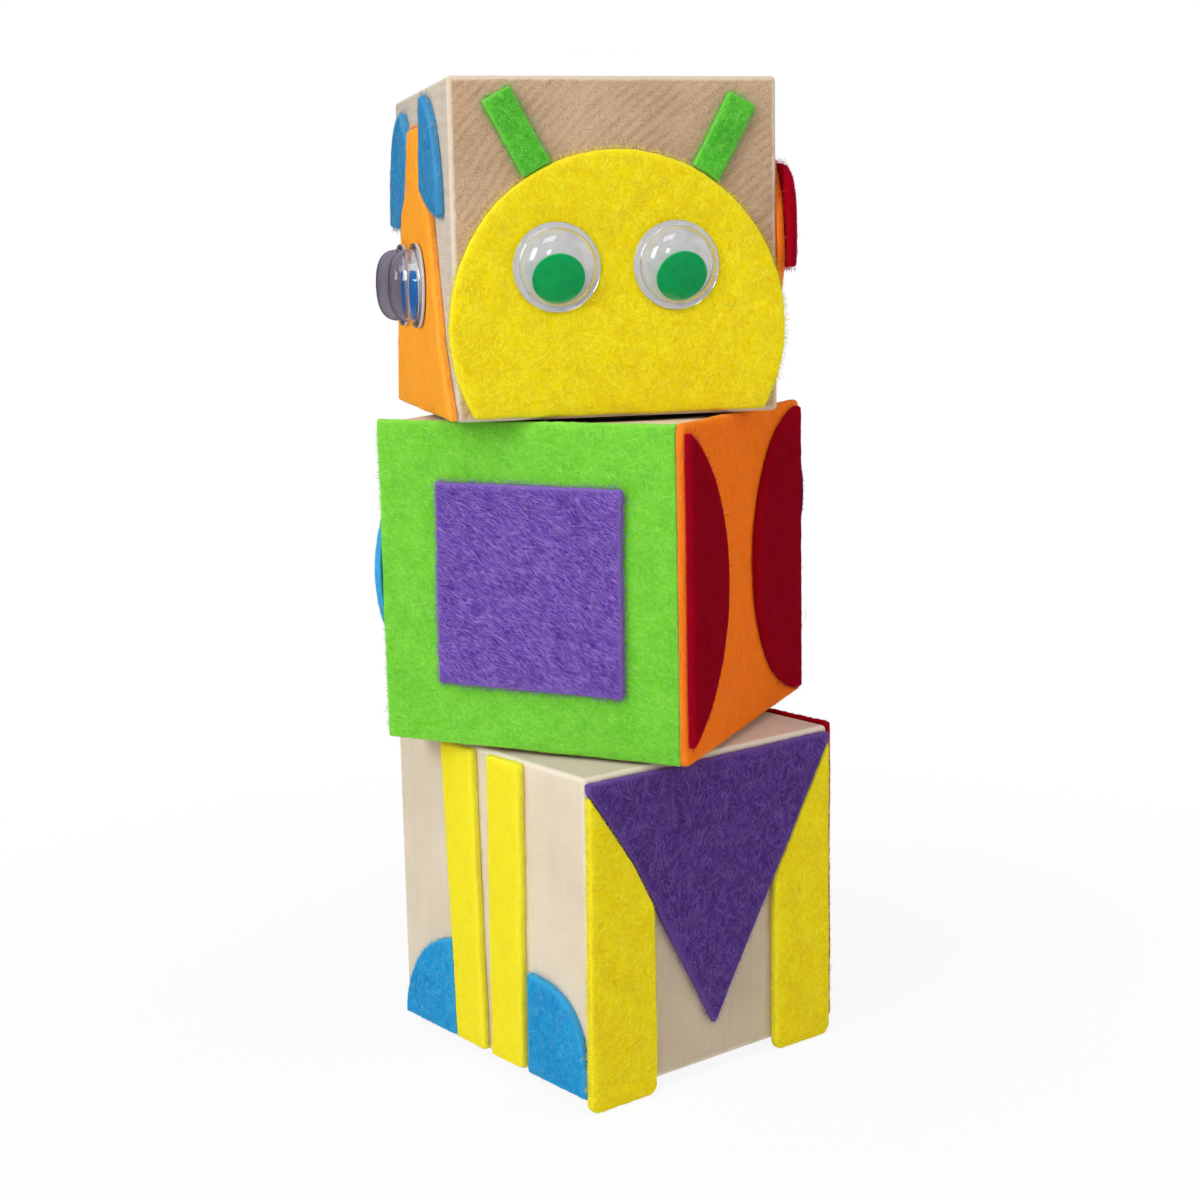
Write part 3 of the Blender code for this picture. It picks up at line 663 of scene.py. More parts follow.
@dataclass(frozen=True)
class TapeFinish:
    """Black nylon tape: woven backing and the strands that stand on it."""

    name: str
    yarn: Colour
    gap: Colour
    tips: Colour
    yarn_pitch: float = 0.0006

    def backing_material(self) -> bpy.types.Material:
        """Plain weave.

        Returns:
            The backing's material.
        """
        made, graph, shader = new_material(self.name)
        waves = []
        for part in graph.split(graph.place())[:2]:
            turns = graph.math("MULTIPLY", part, 2 * math.pi / self.yarn_pitch)
            waves.append(graph.math("ABSOLUTE", graph.math("SINE", turns)))
        weave = graph.math("MULTIPLY", *waves, clamp=True)
        graph.feed(shader.inputs["Base Color"], graph.mix(weave, paint(self.gap), paint(self.yarn)))
        shader.inputs["Roughness"].default_value = 0.7
        graph.feed(shader.inputs["Normal"], graph.bump(weave, 0.6, 0.0002))
        return made

    def strand_material(self) -> bpy.types.Material:
        """Nylon strands, each with its own tone.

        Returns:
            The strands' material.
        """
        made, graph, shader = new_material(self.name + "_strands")
        tone = graph.attribute("tone")
        graph.feed(shader.inputs["Base Color"], graph.mix(tone, paint(self.gap), paint(self.tips)))
        shader.inputs["Roughness"].default_value = 0.45
        return made


EYE_CARD = CardFinish("eye_card", (200, 202, 198), (186, 188, 184), 0.45)
GREEN_PUPIL = CardFinish("green_pupil", (0, 174, 88), (0, 161, 80), 0.5, gloss=0.06)
BLUE_PUPIL = CardFinish("blue_pupil", (18, 102, 172), (10, 84, 152), 0.5, gloss=0.06)
CLEAR_DOME = ClearFinish("clear_dome", (243, 240, 243), 0.02, 1.42)
HOOK_TAPE = TapeFinish("hook_tape", (34, 26, 28), (12, 8, 9), (160, 112, 84))
LOOP_TAPE = TapeFinish("loop_tape", (36, 34, 36), (14, 13, 14), (70, 68, 72))

HEAD_WOOD = WoodFinish("head_wood", Grain.ALONG_Y, (218, 206, 190), (182, 164, 144), (206, 176, 144),
                       (148, 113, 82), (228, 212, 190), (0.110, -0.100, 0.0), 0.0021, ring_share=0.22)
BODY_WOOD = WoodFinish("body_wood", Grain.ALONG_Z, (232, 218, 194), (198, 178, 148), (226, 208, 186),
                       (186, 162, 136), (240, 230, 210), (0.05, 0.11, 0.0), 0.0034)
# The lowest cube's right and left faces get painted shade.
LEGS_WOOD = WoodFinish("legs_wood", Grain.ALONG_Z, (229, 215, 192), (188, 168, 141), (222, 204, 188),
                       (184, 160, 140), (240, 230, 210), (0.06, 0.10, 0.0), 0.0030, ring_share=0.04,
                       streak_share=0.06, sanding_share=0.05, side_painted_shade=0.55)


class Materials:
    """Makes each material once, when a piece first asks for it."""

    def __init__(self) -> None:
        """Start with none made."""
        self.made: dict[str, bpy.types.Material] = {}

    def sheet(self, felt: Felt) -> bpy.types.Material:
        """The material of a sheet of felt."""
        return self._once(felt.value.name, felt.value.sheet_material)

    def fibres(self, felt: Felt) -> bpy.types.Material:
        """The material of a felt's loose fibres."""
        return self._once(felt.value.name + "_fibres", felt.value.fibre_material)

    def plain(self, finish: Union[CardFinish, ClearFinish]) -> bpy.types.Material:
        """The material of a card or clear finish."""
        return self._once(finish.name, finish.material)

    def backing(self, tape: TapeFinish) -> bpy.types.Material:
        """The material of a tape's backing."""
        return self._once(tape.name, tape.backing_material)

    def strands(self, tape: TapeFinish) -> bpy.types.Material:
        """The material of a tape's strands."""
        return self._once(tape.name + "_strands", tape.strand_material)

    def _once(self, name: str, make: Callable[[], bpy.types.Material]) -> bpy.types.Material:
        """Return the named material, making it the first time."""
        if name not in self.made:
            self.made[name] = make()
        return self.made[name]


MATERIALS = Materials()


def ripple(u: float, v: float, span: float, layer: float) -> float:
    """Smooth noise at a place, with waves about span millimetres long, in a layer of its own."""
    return noise.noise(Vector((u / (span * MM), v / (span * MM), layer)))


def heading(angle: float) -> Vector:
    """The flat direction at an angle from the x axis."""
    return Vector((math.cos(angle), math.sin(angle), 0.0))


def left_of(ahead: Vector) -> Vector:
    """The flat direction square to another, on its left."""
    return Vector((-ahead.y, ahead.x, 0.0))


class Outline:
    """A closed cut line on a flat face, in metres, anticlockwise as seen from outside."""

    def __init__(self, points: np.ndarray) -> None:
        """Keep the points, which are rows of u and v."""
        self.points = points

    @classmethod
    def of_node(cls, node: str, face: Matrix) -> "Outline":
        """Read the outline of a flat solid's outer side.

        Args:
            node: the solid's name in the frame.
            face: the face's axes, with z straight out.

        Returns:
            The outline, which starts at its leftmost point.
        """
        shape = bmesh.new()
        shape.from_mesh(frame["nodes"][node].data)
        bmesh.ops.remove_doubles(shape, verts=shape.verts, dist=1e-6)
        shape.normal_update()
        out = face.col[2].to_3d()
        into_face = face.inverted()
        outer = [side for side in shape.faces if side.normal.dot(out) >= 0.9]
        following = {}
        for side in outer:
            others = set(outer) - {side}
            for corner in side.loops:
                if others.isdisjoint(corner.edge.link_faces):
                    following[corner.vert] = corner.link_loop_next.vert
        here = {vert: (into_face @ vert.co).xy for vert in following}
        vert = min(following, key=lambda item: tuple(here[item]))
        points = []
        for _ in range(len(following)):
            points.append(tuple(here[vert]))
            vert = following[vert]
        shape.free()
        return cls(np.array(points))

    def area(self) -> float:
        """The area inside the outline."""
        u, v = self.points.T
        return abs(float(np.sum(u * np.roll(v, -1) - np.roll(u, -1) * v))) / 2

    def cut_size(self, least: float) -> tuple[float, float]:
        """Find the smallest rectangle that the shape can be cut from.

        Args:
            least: the least length of a side.

        Returns:
            The rectangle's two sides.
        """
        best = (math.inf, math.inf)
        for degree in range(90):
            angle = math.radians(degree)
            turn = np.array([[math.cos(angle), -math.sin(angle)], [math.sin(angle), math.cos(angle)]])
            spread = np.ptp(self.points @ turn, axis=0)
            if spread[0] * spread[1] < best[0] * best[1] - 1e-12:
                best = (float(spread[0]), float(spread[1]))
        return max(best[0], least), max(best[1], least)

    def eased(self, radius: float) -> "Outline":
        """Round the corners as scissors do.

        Args:
            radius: how far from a corner the rounding starts.

        Returns:
            The eased outline.
        """
        steps, least_turn_deg = 4, 22.0
        result = []
        for before, here, after in zip(np.roll(self.points, 1, 0), self.points, np.roll(self.points, -1, 0)):
            back, on = before - here, after - here
            back_length, on_length = np.linalg.norm(back), np.linalg.norm(on)
            straight = float(np.clip(-(back @ on) / (back_length * on_length), -1.0, 1.0))
            if math.degrees(math.acos(straight)) < least_turn_deg:
                result.append(here)
                continue
            start = here + back / back_length * min(radius, 0.45 * back_length)
            end = here + on / on_length * min(radius, 0.45 * on_length)
            for share in np.linspace(0.0, 1.0, steps + 1):
                result.append((1 - share) ** 2 * start + 2 * share * (1 - share) * here + share ** 2 * end)
        return Outline(np.array(result))

    def resampled(self, spacing: float) -> "Outline":
        """Space the points evenly.

        Args:
            spacing: the distance between neighbours.

        Returns:
            The same outline in new points.
        """
        closed = np.vstack([self.points, self.points[:1]])
        run = np.concatenate([[0.0], np.cumsum(np.linalg.norm(np.diff(closed, axis=0), axis=1))])
        places = np.linspace(0.0, run[-1], max(12, round(run[-1] / spacing)), endpoint=False)
        return Outline(np.column_stack([np.interp(places, run, closed[:, axis]) for axis in (0, 1)]))

    def normals(self) -> np.ndarray:
        """Find the outward direction at each point.

        Returns:
            The directions, as rows of u and v.
        """
        along = np.roll(self.points, -1, 0) - np.roll(self.points, 1, 0)
        along /= np.linalg.norm(along, axis=1)[:, None]
        return np.column_stack([along[:, 1], -along[:, 0]])

    def wavered(self, amount: float, seed: int) -> "Outline":
        """The outline as an unsteady hand cuts it.

        Args:
            amount: how far the cut strays.
            seed: a number of the piece's own.

        Returns:
            The unsteady outline.
        """
        stray = []
        for u, v in self.points:
            stray.append(amount * (ripple(u, v, 11, seed * 3.7) + 0.7 * ripple(u, v, 1.5, seed * 5.3)))
        return Outline(self.points + self.normals() * np.array(stray)[:, None])

    def depth(self, places: np.ndarray) -> np.ndarray:
        """Find how far places lie from the outline.

        Args:
            places: rows of u and v.

        Returns:
            The distance of each place.
        """
        start = self.points[None, :, :]
        leg = np.roll(self.points, -1, 0)[None, :, :] - start
        reach = places[:, None, :] - start
        share = np.clip((reach * leg).sum(2) / np.maximum((leg * leg).sum(2), 1e-18), 0.0, 1.0)
        return np.sqrt(((reach - share[:, :, None] * leg) ** 2).sum(2)).min(1)

    def holds(self, places: np.ndarray) -> np.ndarray:
        """Find which places lie inside the outline.

        Args:
            places: rows of u and v.

        Returns:
            True for each place inside.
        """
        u, v = places[:, :1], places[:, 1:]
        low, high = self.points, np.roll(self.points, -1, 0)
        spans = (low[:, 1] > v) != (high[:, 1] > v)
        rise = np.where(high[:, 1] == low[:, 1], 1e-12, high[:, 1] - low[:, 1])
        meets = u < (high[:, 0] - low[:, 0]) * (v - low[:, 1]) / rise + low[:, 0]
        return (spans & meets).sum(1) % 2 == 1

    def lattice(self, spacing: float, margin: float, chance: np.random.Generator) -> np.ndarray:
        """Places inside the outline on a loose triangular lattice.

        Args:
            spacing: the distance between neighbours.
            margin: the least distance from the outline.
            chance: the source of the small shifts.

        Returns:
            The places, as rows of u and v.
        """
        low, high = self.points.min(0), self.points.max(0)
        rows = []
        for number, v in enumerate(np.arange(low[1], high[1], spacing * 0.866)):
            us = np.arange(low[0] + (number % 2) * spacing / 2, high[0], spacing)
            rows.append(np.column_stack([us, np.full(len(us), v)]))
        places = np.vstack(rows)
        places = places + chance.uniform(-0.18, 0.18, places.shape) * spacing
        places = places[self.holds(places)]
        return places[self.depth(places) > margin] if len(places) else places


def triangles(points: np.ndarray, rim: int) -> list[tuple[int, int, int]]:
    """Join points inside a closed rim with triangles.

    Args:
        points: rows of u and v, of which the first ones are the rim in order.
        rim: how many points the rim has.

    Returns:
        The triangles, as numbers of points.
    """
    edges = [(number, (number + 1) % rim) for number in range(rim)]
    flat = [Vector(point / MM) for point in points]
    _, _, faces, origin, _, _ = delaunay_2d_cdt(flat, edges, [], 1, 1e-7)
    return [tuple(origin[corner][0] for corner in face) for face in faces]


def add_object(name: str, verts: list, faces: list, place: Matrix, material: bpy.types.Material,
               sharp_deg: float = 38.0) -> bpy.types.Object:
    """Make a smooth-shaded mesh object.

    Args:
        name: the piece's name.
        verts: its points, in its own axes.
        faces: its faces, as numbers of points.
        place: its axes in the frame.
        material: its finish.
        sharp_deg: the least fold that stays a sharp edge.

    Returns:
        The new object.
    """
    mesh = bpy.data.meshes.new(name)
    mesh.from_pydata([tuple(vert) for vert in verts], [], faces)
    mesh.shade_smooth()
    mesh.set_sharp_from_angle(angle=math.radians(sharp_deg))
    mesh.materials.append(material)
    piece = bpy.data.objects.new(name, mesh)
    piece.matrix_world = place
    bpy.context.scene.collection.objects.link(piece)
    return piece


def stand_for(node: str, slot: str, piece: bpy.types.Object, *loose: bpy.types.Object) -> None:
    """Let a piece stand for its solid, and move it and its loose strands with that solid's body.

    Args:
        node: the solid's name in the frame.
        slot: the slot of the pieces' material, not used.
        piece: what replaces the solid.
        loose: the strands that go with it.
    """
    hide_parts(node)
    for part in (piece, *loose):
        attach(part, frame["nodes"][node]["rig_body"])


class Strands:
    """Thin closed three-sided strands, gathered into one mesh with a tone for each."""

    def __init__(self) -> None:
        """Start with no strands."""
        self.verts: list[Vector] = []
        self.faces: list[tuple] = []
        self.tones: list[float] = []

    def add(self, path: list[Vector], radius: float, tone: float) -> None:
        """Add a strand that tapers to a point at both ends.

        Args:
            path: its points; the first and last are its tips.
            radius: how thick it is between them.
            tone: 0 for the dark colour and 1 for the light one.
        """
        first = len(self.verts)
        along = (path[-1] - path[0]).normalized()
        side = along.orthogonal().normalized()
        other = along.cross(side)
        self.verts.append(path[0])
        for point in path[1:-1]:
            for corner in range(3):
                angle = 2 * math.pi * corner / 3
                self.verts.append(point + (side * math.cos(angle) + other * math.sin(angle)) * radius)
        self.verts.append(path[-1])
        rings = len(path) - 2
        for corner in range(3):
            beside = (corner + 1) % 3
            self.faces.append((first, first + 1 + beside, first + 1 + corner))
            for ring in range(rings - 1):
                low = first + 1 + 3 * ring
                self.faces.append((low + corner, low + beside, low + 3 + beside, low + 3 + corner))
            last = first + 1 + 3 * (rings - 1)
            self.faces.append((last + corner, last + beside, first + 1 + 3 * rings))
        self.tones.extend([tone] * (3 * rings + 2))

    def build(self, name: str, place: Matrix, material: bpy.types.Material) -> bpy.types.Object:
        """Make the object that holds the strands.

        Args:
            name: the piece's name.
            place: its axes in the frame.
            material: its finish.

        Returns:
            The new object.
        """
        piece = add_object(name, self.verts, self.faces, place, material, sharp_deg=180.0)
        tone = piece.data.attributes.new("tone", "FLOAT", "POINT")
        tone.data.foreach_set("value", self.tones)
        return piece


class Side(Enum):
    """A cube's upright faces, by their turn about its axis in degrees."""

    FRONT = 0.0
    RIGHT = 90.0
    BACK = 180.0
    LEFT = -90.0


@dataclass
class FeltPiece:
    """One shape cut from felt and glued flat, with soft edges and loose fibres."""

    node: str
    felt: Felt
    side: Side
    seed: int
    under: str = ""
    corner_round: float = 0.0005
    waver: float = 0.00018
    rim_spacing: float = 0.0006
    mat_spacing: float = 0.0015
    edge_round: float = 0.0011
    shoulder: float = 0.42
    lump: float = 0.00010
    edge_lift: float = 0.00012
    lift_reach: float = 0.0065
    fibre_density: float = 0.50e6
    edge_density: float = 8500.0
    fibre_radius: float = 0.000034
    tuft_radius: float = 0.000060
    tuft_share: float = 1.0
    stray_share: float = 0.005
    fibre_mm: tuple[float, float] = (1.5, 5.5)
    stray_mm: tuple[float, float] = (6.0, 12.0)
    tuft_mm: tuple[float, float, float] = (0.3, 1.6, 3.2)
    end_band_mm: float = 1.8
    ring_shares: tuple[float, float] = (0.25, 0.7)
    wall_bulge: float = 0.00006
    glue_sink: float = 0.00020
    least_flat: float = 0.010
    inner: float = field(init=False)
    thick: float = field(init=False)
    rim: Outline = field(init=False)

    def build(self, cube: "StackCube") -> None:
        """Args:
            cube: the cube that carries the felt.
        """
        face = cube.face(self.side)
        into_face = face.inverted()
        heights = [(into_face @ vert.co).z for vert in frame["nodes"][self.node].data.vertices]
        self.inner, self.thick = min(heights), max(heights) - min(heights)
        cut = Outline.of_node(self.node, face)
        self.rim = cut.eased(self.corner_round).resampled(self.rim_spacing).wavered(self.waver, self.seed)
        chance = np.random.default_rng(self.seed)
        sheet = self._sheet(face, chance)
        fuzz = self._fuzz(face, chance, cube.side)
        stand_for(self.node, self.felt.value.slot or self.felt.value.name, sheet, fuzz)
        cut.cut_size(self.least_flat)
        cut.area()
        LOG.info("felt %s: %d corners of fibres", self.node, len(fuzz.data.vertices))

    def _height(self, u: float, v: float, depth: float) -> tuple[float, float]:
        """How high the felt's top and underside lie over the face at a place.

        Args:
            u: the place along the face.
            v: the place up the face.
            depth: its distance from the cut edge.

        Returns:
            The heights of the top and of the underside.
        """
        lift = max(0.0, ripple(u, v, 13, self.seed * 2.1) + 0.3)
        share = max(0.0, 1 - depth / self.lift_reach)
        lift *= self.edge_lift * share * share
        rounding = min(1.0, depth / self.edge_round)
        drop = self.shoulder * (1 - math.sqrt(1 - (1 - rounding) ** 2))
        lump = ripple(u, v, 3.4, self.seed * 1.3) + 0.8 * ripple(u, v, 9, self.seed * 4.9)
        top = self.inner + self.thick * (1 - drop) + lift + self.lump * lump * min(1.0, depth / (1.2 * MM))
        return top, self.inner - self.glue_sink + lift

    def _sheet(self, face: Matrix, chance: np.random.Generator) -> bpy.types.Object:
        """Make the felt itself, a closed slab with a rounded cut edge.

        Args:
            face: the axes of the cube's face.
            chance: the source of its unevenness.

        Returns:
            The sheet.
        """
        rim = self.rim.points
        layers = [rim]
        insets = [self.edge_round * share for share in self.ring_shares]
        for inset in insets:
            ring = rim - self.rim.normals() * inset
            layers.append(ring[self.rim.holds(ring) & (self.rim.depth(ring) > 0.6 * inset)])
        layers.append(self.rim.lattice(self.mat_spacing, insets[-1] + self.mat_spacing * 0.5, chance))
        places = np.vstack(layers)
        depth = np.concatenate([np.zeros(len(rim)), self.rim.depth(places[len(rim):])])
        verts = [Vector((u, v, self._height(u, v, far)[0])) for (u, v), far in zip(places, depth)]
        faces = triangles(places, len(rim))
        middle, bottom = len(verts), len(verts) + len(rim)
        for (u, v), (out_u, out_v) in zip(rim, self.rim.normals()):
            top, low = self._height(u, v, 0.0)
            verts.append(Vector((u + out_u * self.wall_bulge, v + out_v * self.wall_bulge, (top + low) / 2)))
        verts += [Vector((u, v, self._height(u, v, 0.0)[1])) for u, v in rim]
        for number in range(len(rim)):
            after = (number + 1) % len(rim)
            faces.append((number, middle + number, middle + after, after))
            faces.append((middle + number, bottom + number, bottom + after, middle + after))
        under = triangles(rim, len(rim))
        faces += [tuple(bottom + corner for corner in reversed(corners)) for corners in under]
        piece = add_object(self.node + "_sheet", verts, faces, face, MATERIALS.sheet(self.felt))
        # Painted light on the cut edge: full on the wall and underside, fading in over the rounding.
        painted_edge_light = np.concatenate([np.clip(1 - depth / self.edge_round, 0.0, 1.0), np.ones(2 * len(rim))])
        piece.data.attributes.new("painted_edge_light", "FLOAT", "POINT").data.foreach_set("value", painted_edge_light)
        return piece

    def _fuzz(self, face: Matrix, chance: np.random.Generator, cube_side: float) -> bpy.types.Object:
        """Make the loose fibres on the felt's surface and along its cut edge.

        Args:
            face: the axes of the cube's face.
            chance: the source of their differences.
            cube_side: the cube's side.

        Returns:
            The fibres, in one piece.
        """
        strands = Strands()
        count = int(self.rim.area() * self.fibre_density)
        low, high = self.rim.points.min(0), self.rim.points.max(0)
        places = chance.uniform(low, high, (3 * count, 2))
        places = places[self.rim.holds(places)][:count]
        nap = math.radians(self.felt.value.nap_deg)
        for (u, v), far in zip(places, self.rim.depth(places)):
            angle = nap + chance.normal(0.0, self.felt.value.fan)
            stray = chance.random() < self.stray_share
            length = chance.uniform(*(self.stray_mm if stray else self.fibre_mm))
            length = min(length * MM, 2.2 * far + 0.0006)
            bend = chance.normal(0.0, 0.25 if stray else 0.12) * length
            rest = self._height(u, v, far)[0]
            lift = chance.uniform(0.25, 0.6) * MM if stray else chance.uniform(0.03, 0.12) * MM
            loose = chance.uniform(0.1, 0.5) * MM if chance.random() < 0.12 else -0.05 * MM
            along = heading(angle)
            aside = left_of(along)
            foot = Vector((u, v, rest))
            path = [foot - along * length / 2 - UP * 0.05 * MM,
                    foot - along * length / 6 + aside * bend + UP * lift,
                    foot + along * length / 6 + aside * bend + UP * lift,
                    foot + along * length / 2 + UP * loose]
            tone = 1.0 if stray else chance.uniform(0.45, 1.0)
            strands.add(path, self.fibre_radius * chance.uniform(0.6, 1.1), tone)
        self._edge_fibres(strands, chance, cube_side)
        return strands.build(self.node + "_fuzz", face, MATERIALS.fibres(self.felt))

    def _edge_fibres(self, strands: Strands, chance: np.random.Generator, cube_side: float) -> None:
        """Short fibres that stand out of the cut edge; those at the cube's ends stay close to it.

        Args:
            strands: where the fibres go.
            chance: the source of their differences.
            cube_side: the cube's side.
        """
        shortest, usual, longest = self.tuft_mm
        normals = self.rim.normals()
        run = float(np.linalg.norm(np.roll(self.rim.points, -1, 0) - self.rim.points, axis=1).sum())
        for _ in range(int(run * self.edge_density)):
            number = int(chance.integers(len(normals)))
            u, v = self.rim.points[number]
            out = Vector((*normals[number], 0.0))
            beside = left_of(out)
            top, low = self._height(u, v, 0.0)
            start = Vector((u, v, top - (top - low) * chance.random() ** 2))
            start += beside * chance.uniform(-0.5, 0.5) * MM
            at_end = abs(v - cube_side / 2) > cube_side / 2 - self.end_band_mm * MM
            most = longest if chance.random() < 0.05 else usual
            length = chance.uniform(shortest, most) * MM * (0.15 if at_end else self.tuft_share)
            lean = beside * chance.normal(0.0, 0.6) + UP * chance.normal(0.08, 0.25)
            aim = (out + lean).normalized() * length
            curl = beside * chance.normal(0.0, 0.2) * length
            path = [start - out * 0.12 * MM, start + aim * 0.5 + curl * 0.2, start + aim + curl]
            strands.add(path, self.tuft_radius * chance.uniform(0.5, 1.0), chance.uniform(0.5, 1.0))


def lathe(name: str, profile: Profile, place: Matrix, material: bpy.types.Material) -> bpy.types.Object:
    """Turn a profile about the z axis of a place.

    Args:
        name: the piece's name.
        profile: points of radius and height, from the axis round to the axis.
        place: the axes that it turns in.
        material: its finish.

    Returns:
        The new object.
    """
    turns, sharp_deg = 96, 40.0
    verts = [Vector((0.0, 0.0, profile[0][1]))]
    for radius, height in profile[1:-1]:
        for step in range(turns):
            angle = 2 * math.pi * step / turns
            verts.append(Vector((radius * math.cos(angle), radius * math.sin(angle), height)))
    verts.append(Vector((0.0, 0.0, profile[-1][1])))
    last = len(verts) - 1
    rings = len(profile) - 2
    faces = []
    for step in range(turns):
        after = (step + 1) % turns
        faces.append((0, 1 + step, 1 + after))
        for ring in range(rings - 1):
            low = 1 + ring * turns
            faces.append((low + step, low + turns + step, low + turns + after, low + after))
        end = 1 + (rings - 1) * turns
        faces.append((end + step, last, end + after))
    return add_object(name, verts, faces, place, material, sharp_deg)


def rounded_disc(radius: float, low: float, high: float, edge: float) -> Profile:
    """Draw a flat disc with a rounded rim, from the top's middle to the underside's.

    Args:
        radius: the disc's radius.
        low: the height of its underside.
        high: the height of its top.
        edge: the radius of its rim's rounding.

    Returns:
        The profile, as points of radius and height.
    """
    points = [(0.0, high)]
    for end, sign in ((high, 1), (low, -1)):
        arc = []
        for step in range(4):
            angle = math.radians(90 * step / 3)
            height = end - sign * edge + sign * edge * math.cos(angle)
            arc.append((radius - edge + edge * math.sin(angle), height))
        points += arc if sign > 0 else arc[::-1]
    return [*points, (0.0, low)]


@dataclass
class GooglyEye:
    """A googly eye on a felt face: card back, clear dome with a flange, and a loose pupil."""

    name: str
    side: Side
    pupil_finish: CardFinish
    flange_width: float = 0.0012
    flange_thick: float = 0.0005
    wall: float = 0.0003
    squareness: float = 3.0
    dome_steps: int = 26
    fillet: float = 0.0004
    edge: float = 0.00012

    def build(self, cube: "StackCube") -> None:
        """Make the three pieces where their solids are.

        Args:
            cube: the cube that carries the eye.
        """
        face = cube.face(self.side)
        back_low, back_high = self._span("back", face)
        dome_low, dome_high = self._span("dome", face)
        middle = (back_low + back_high) / 2
        rim = (back_high.x - back_low.x) / 2
        seat = face @ Matrix.Translation((middle.x, middle.y, back_low.z))
        card = rounded_disc(rim, 0.0, back_high.z - back_low.z, self.edge)
        self._turned("card", "back", card, seat, EYE_CARD)
        seat = face @ Matrix.Translation((middle.x, middle.y, dome_low.z))
        self._turned("shell", "dome", self._shell(rim, dome_high.z - dome_low.z), seat, CLEAR_DOME)
        self._pupil(face)
        LOG.info("eye %s", self.name)

    def _span(self, part: str, face: Matrix) -> tuple[Vector, Vector]:
        """Measure one of the eye's solids.

        Args:
            part: the end of the solid's name.
            face: the axes to measure along.

        Returns:
            The solid's lowest and highest corners in those axes.
        """
        into_face = face.inverted()
        mesh = frame["nodes"][f"{self.name}_{part}"].data
        points = np.array([into_face @ vert.co for vert in mesh.vertices])
        return Vector(points.min(0)), Vector(points.max(0))

    def _turned(self, label: str, part: str, profile: Profile, seat: Matrix,
                finish: Union[CardFinish, ClearFinish]) -> None:
        """Turn one of the eye's pieces and let it stand for its solid.

        Args:
            label: the end of the piece's name.
            part: the end of its solid's name.
            profile: its points of radius and height.
            seat: the axes that it turns in.
            finish: its material.
        """
        piece = lathe(f"{self.name}_{label}", profile, seat, MATERIALS.plain(finish))
        stand_for(f"{self.name}_{part}", finish.name, piece)

    def _shell(self, rim: float, height: float) -> Profile:
        """Profile of the clear dome: outside from the top down, round the flange, and up inside.

        Args:
            rim: the flange's radius.
            height: the dome's height over the flange's underside.

        Returns:
            The profile as points of radius and height.
        """
        radius = rim - self.flange_width
        outer = self._dome(radius, height)
        inner = self._dome(radius - self.wall, height - self.wall)
        foot = self.flange_thick
        outer = [point for point in reversed(outer) if point[1] > foot + self.fillet]
        for step in range(5):
            angle = math.radians(90 * step / 4)
            rise = foot + self.fillet * (1 - math.sin(angle))
            outer.append((radius + self.fillet * (1 - math.cos(angle)), rise))
        flange = [(rim - self.edge, foot), (rim, foot - self.edge), (rim, self.edge), (rim - self.edge, 0.0)]
        return [*outer, *flange, *inner]

    def _dome(self, radius: float, height: float) -> Profile:
        """Draw a squared dome from its rim to its axis.

        Args:
            radius: its radius at the rim.
            height: its height at the axis.

        Returns:
            The points, of radius and height.
        """
        points = []
        power = 2 / self.squareness
        for step in range(self.dome_steps + 1):
            angle = math.pi / 2 * step / self.dome_steps
            across = max(0.0, math.cos(angle)) ** power
            points.append((radius * across, height * math.sin(angle) ** power))
        points[-1] = (0.0, height)
        return points

    def _pupil(self, face: Matrix) -> None:
        """Make the loose disc, leaning as its solid does.

        Args:
            face: the axes of the cube's face.
        """
        mesh = frame["nodes"][self.name + "_pupil"].data
        out = face.col[2].to_3d()
        flat = max(mesh.polygons, key=lambda side: (round(side.area, 12), side.normal.dot(out)))
        lean = flat.normal.copy()
        if lean.dot(out) < 0:
            lean.negate()
        points = np.array([vert.co for vert in mesh.vertices])
        middle = Vector((points.min(0) + points.max(0)) / 2)
        heights = (points - np.array(middle)) @ np.array(lean)
        half = float(heights.max() - heights.min()) / 2
        radius = math.sqrt(max(((points - np.array(middle)) ** 2).sum(1)) - half * half)
        turn = lean.to_track_quat("Z", "Y").to_matrix().to_4x4()
        disc = rounded_disc(radius, -half, half, self.edge)
        self._turned("disc", "pupil", disc, Matrix.Translation(middle) @ turn, self.pupil_finish)


class Nap(Enum):
    """What stands on a round pad."""

    HOOKS_DOWN = -1
    LOOPS_UP = 1


def lay_pad(node: str, slot: str, pad: bpy.types.Object, strands: bpy.types.Object) -> None:
    """Let a round pad and its strands stand for the pad's solid.

    Args:
        node: the pad's solid.
        slot: the slot of its material, passed on but not used.
        pad: the disc.
        strands: what stands on it.
    """
    stand_for(node, slot, pad, strands)
    LOG.info("pad %s", node)


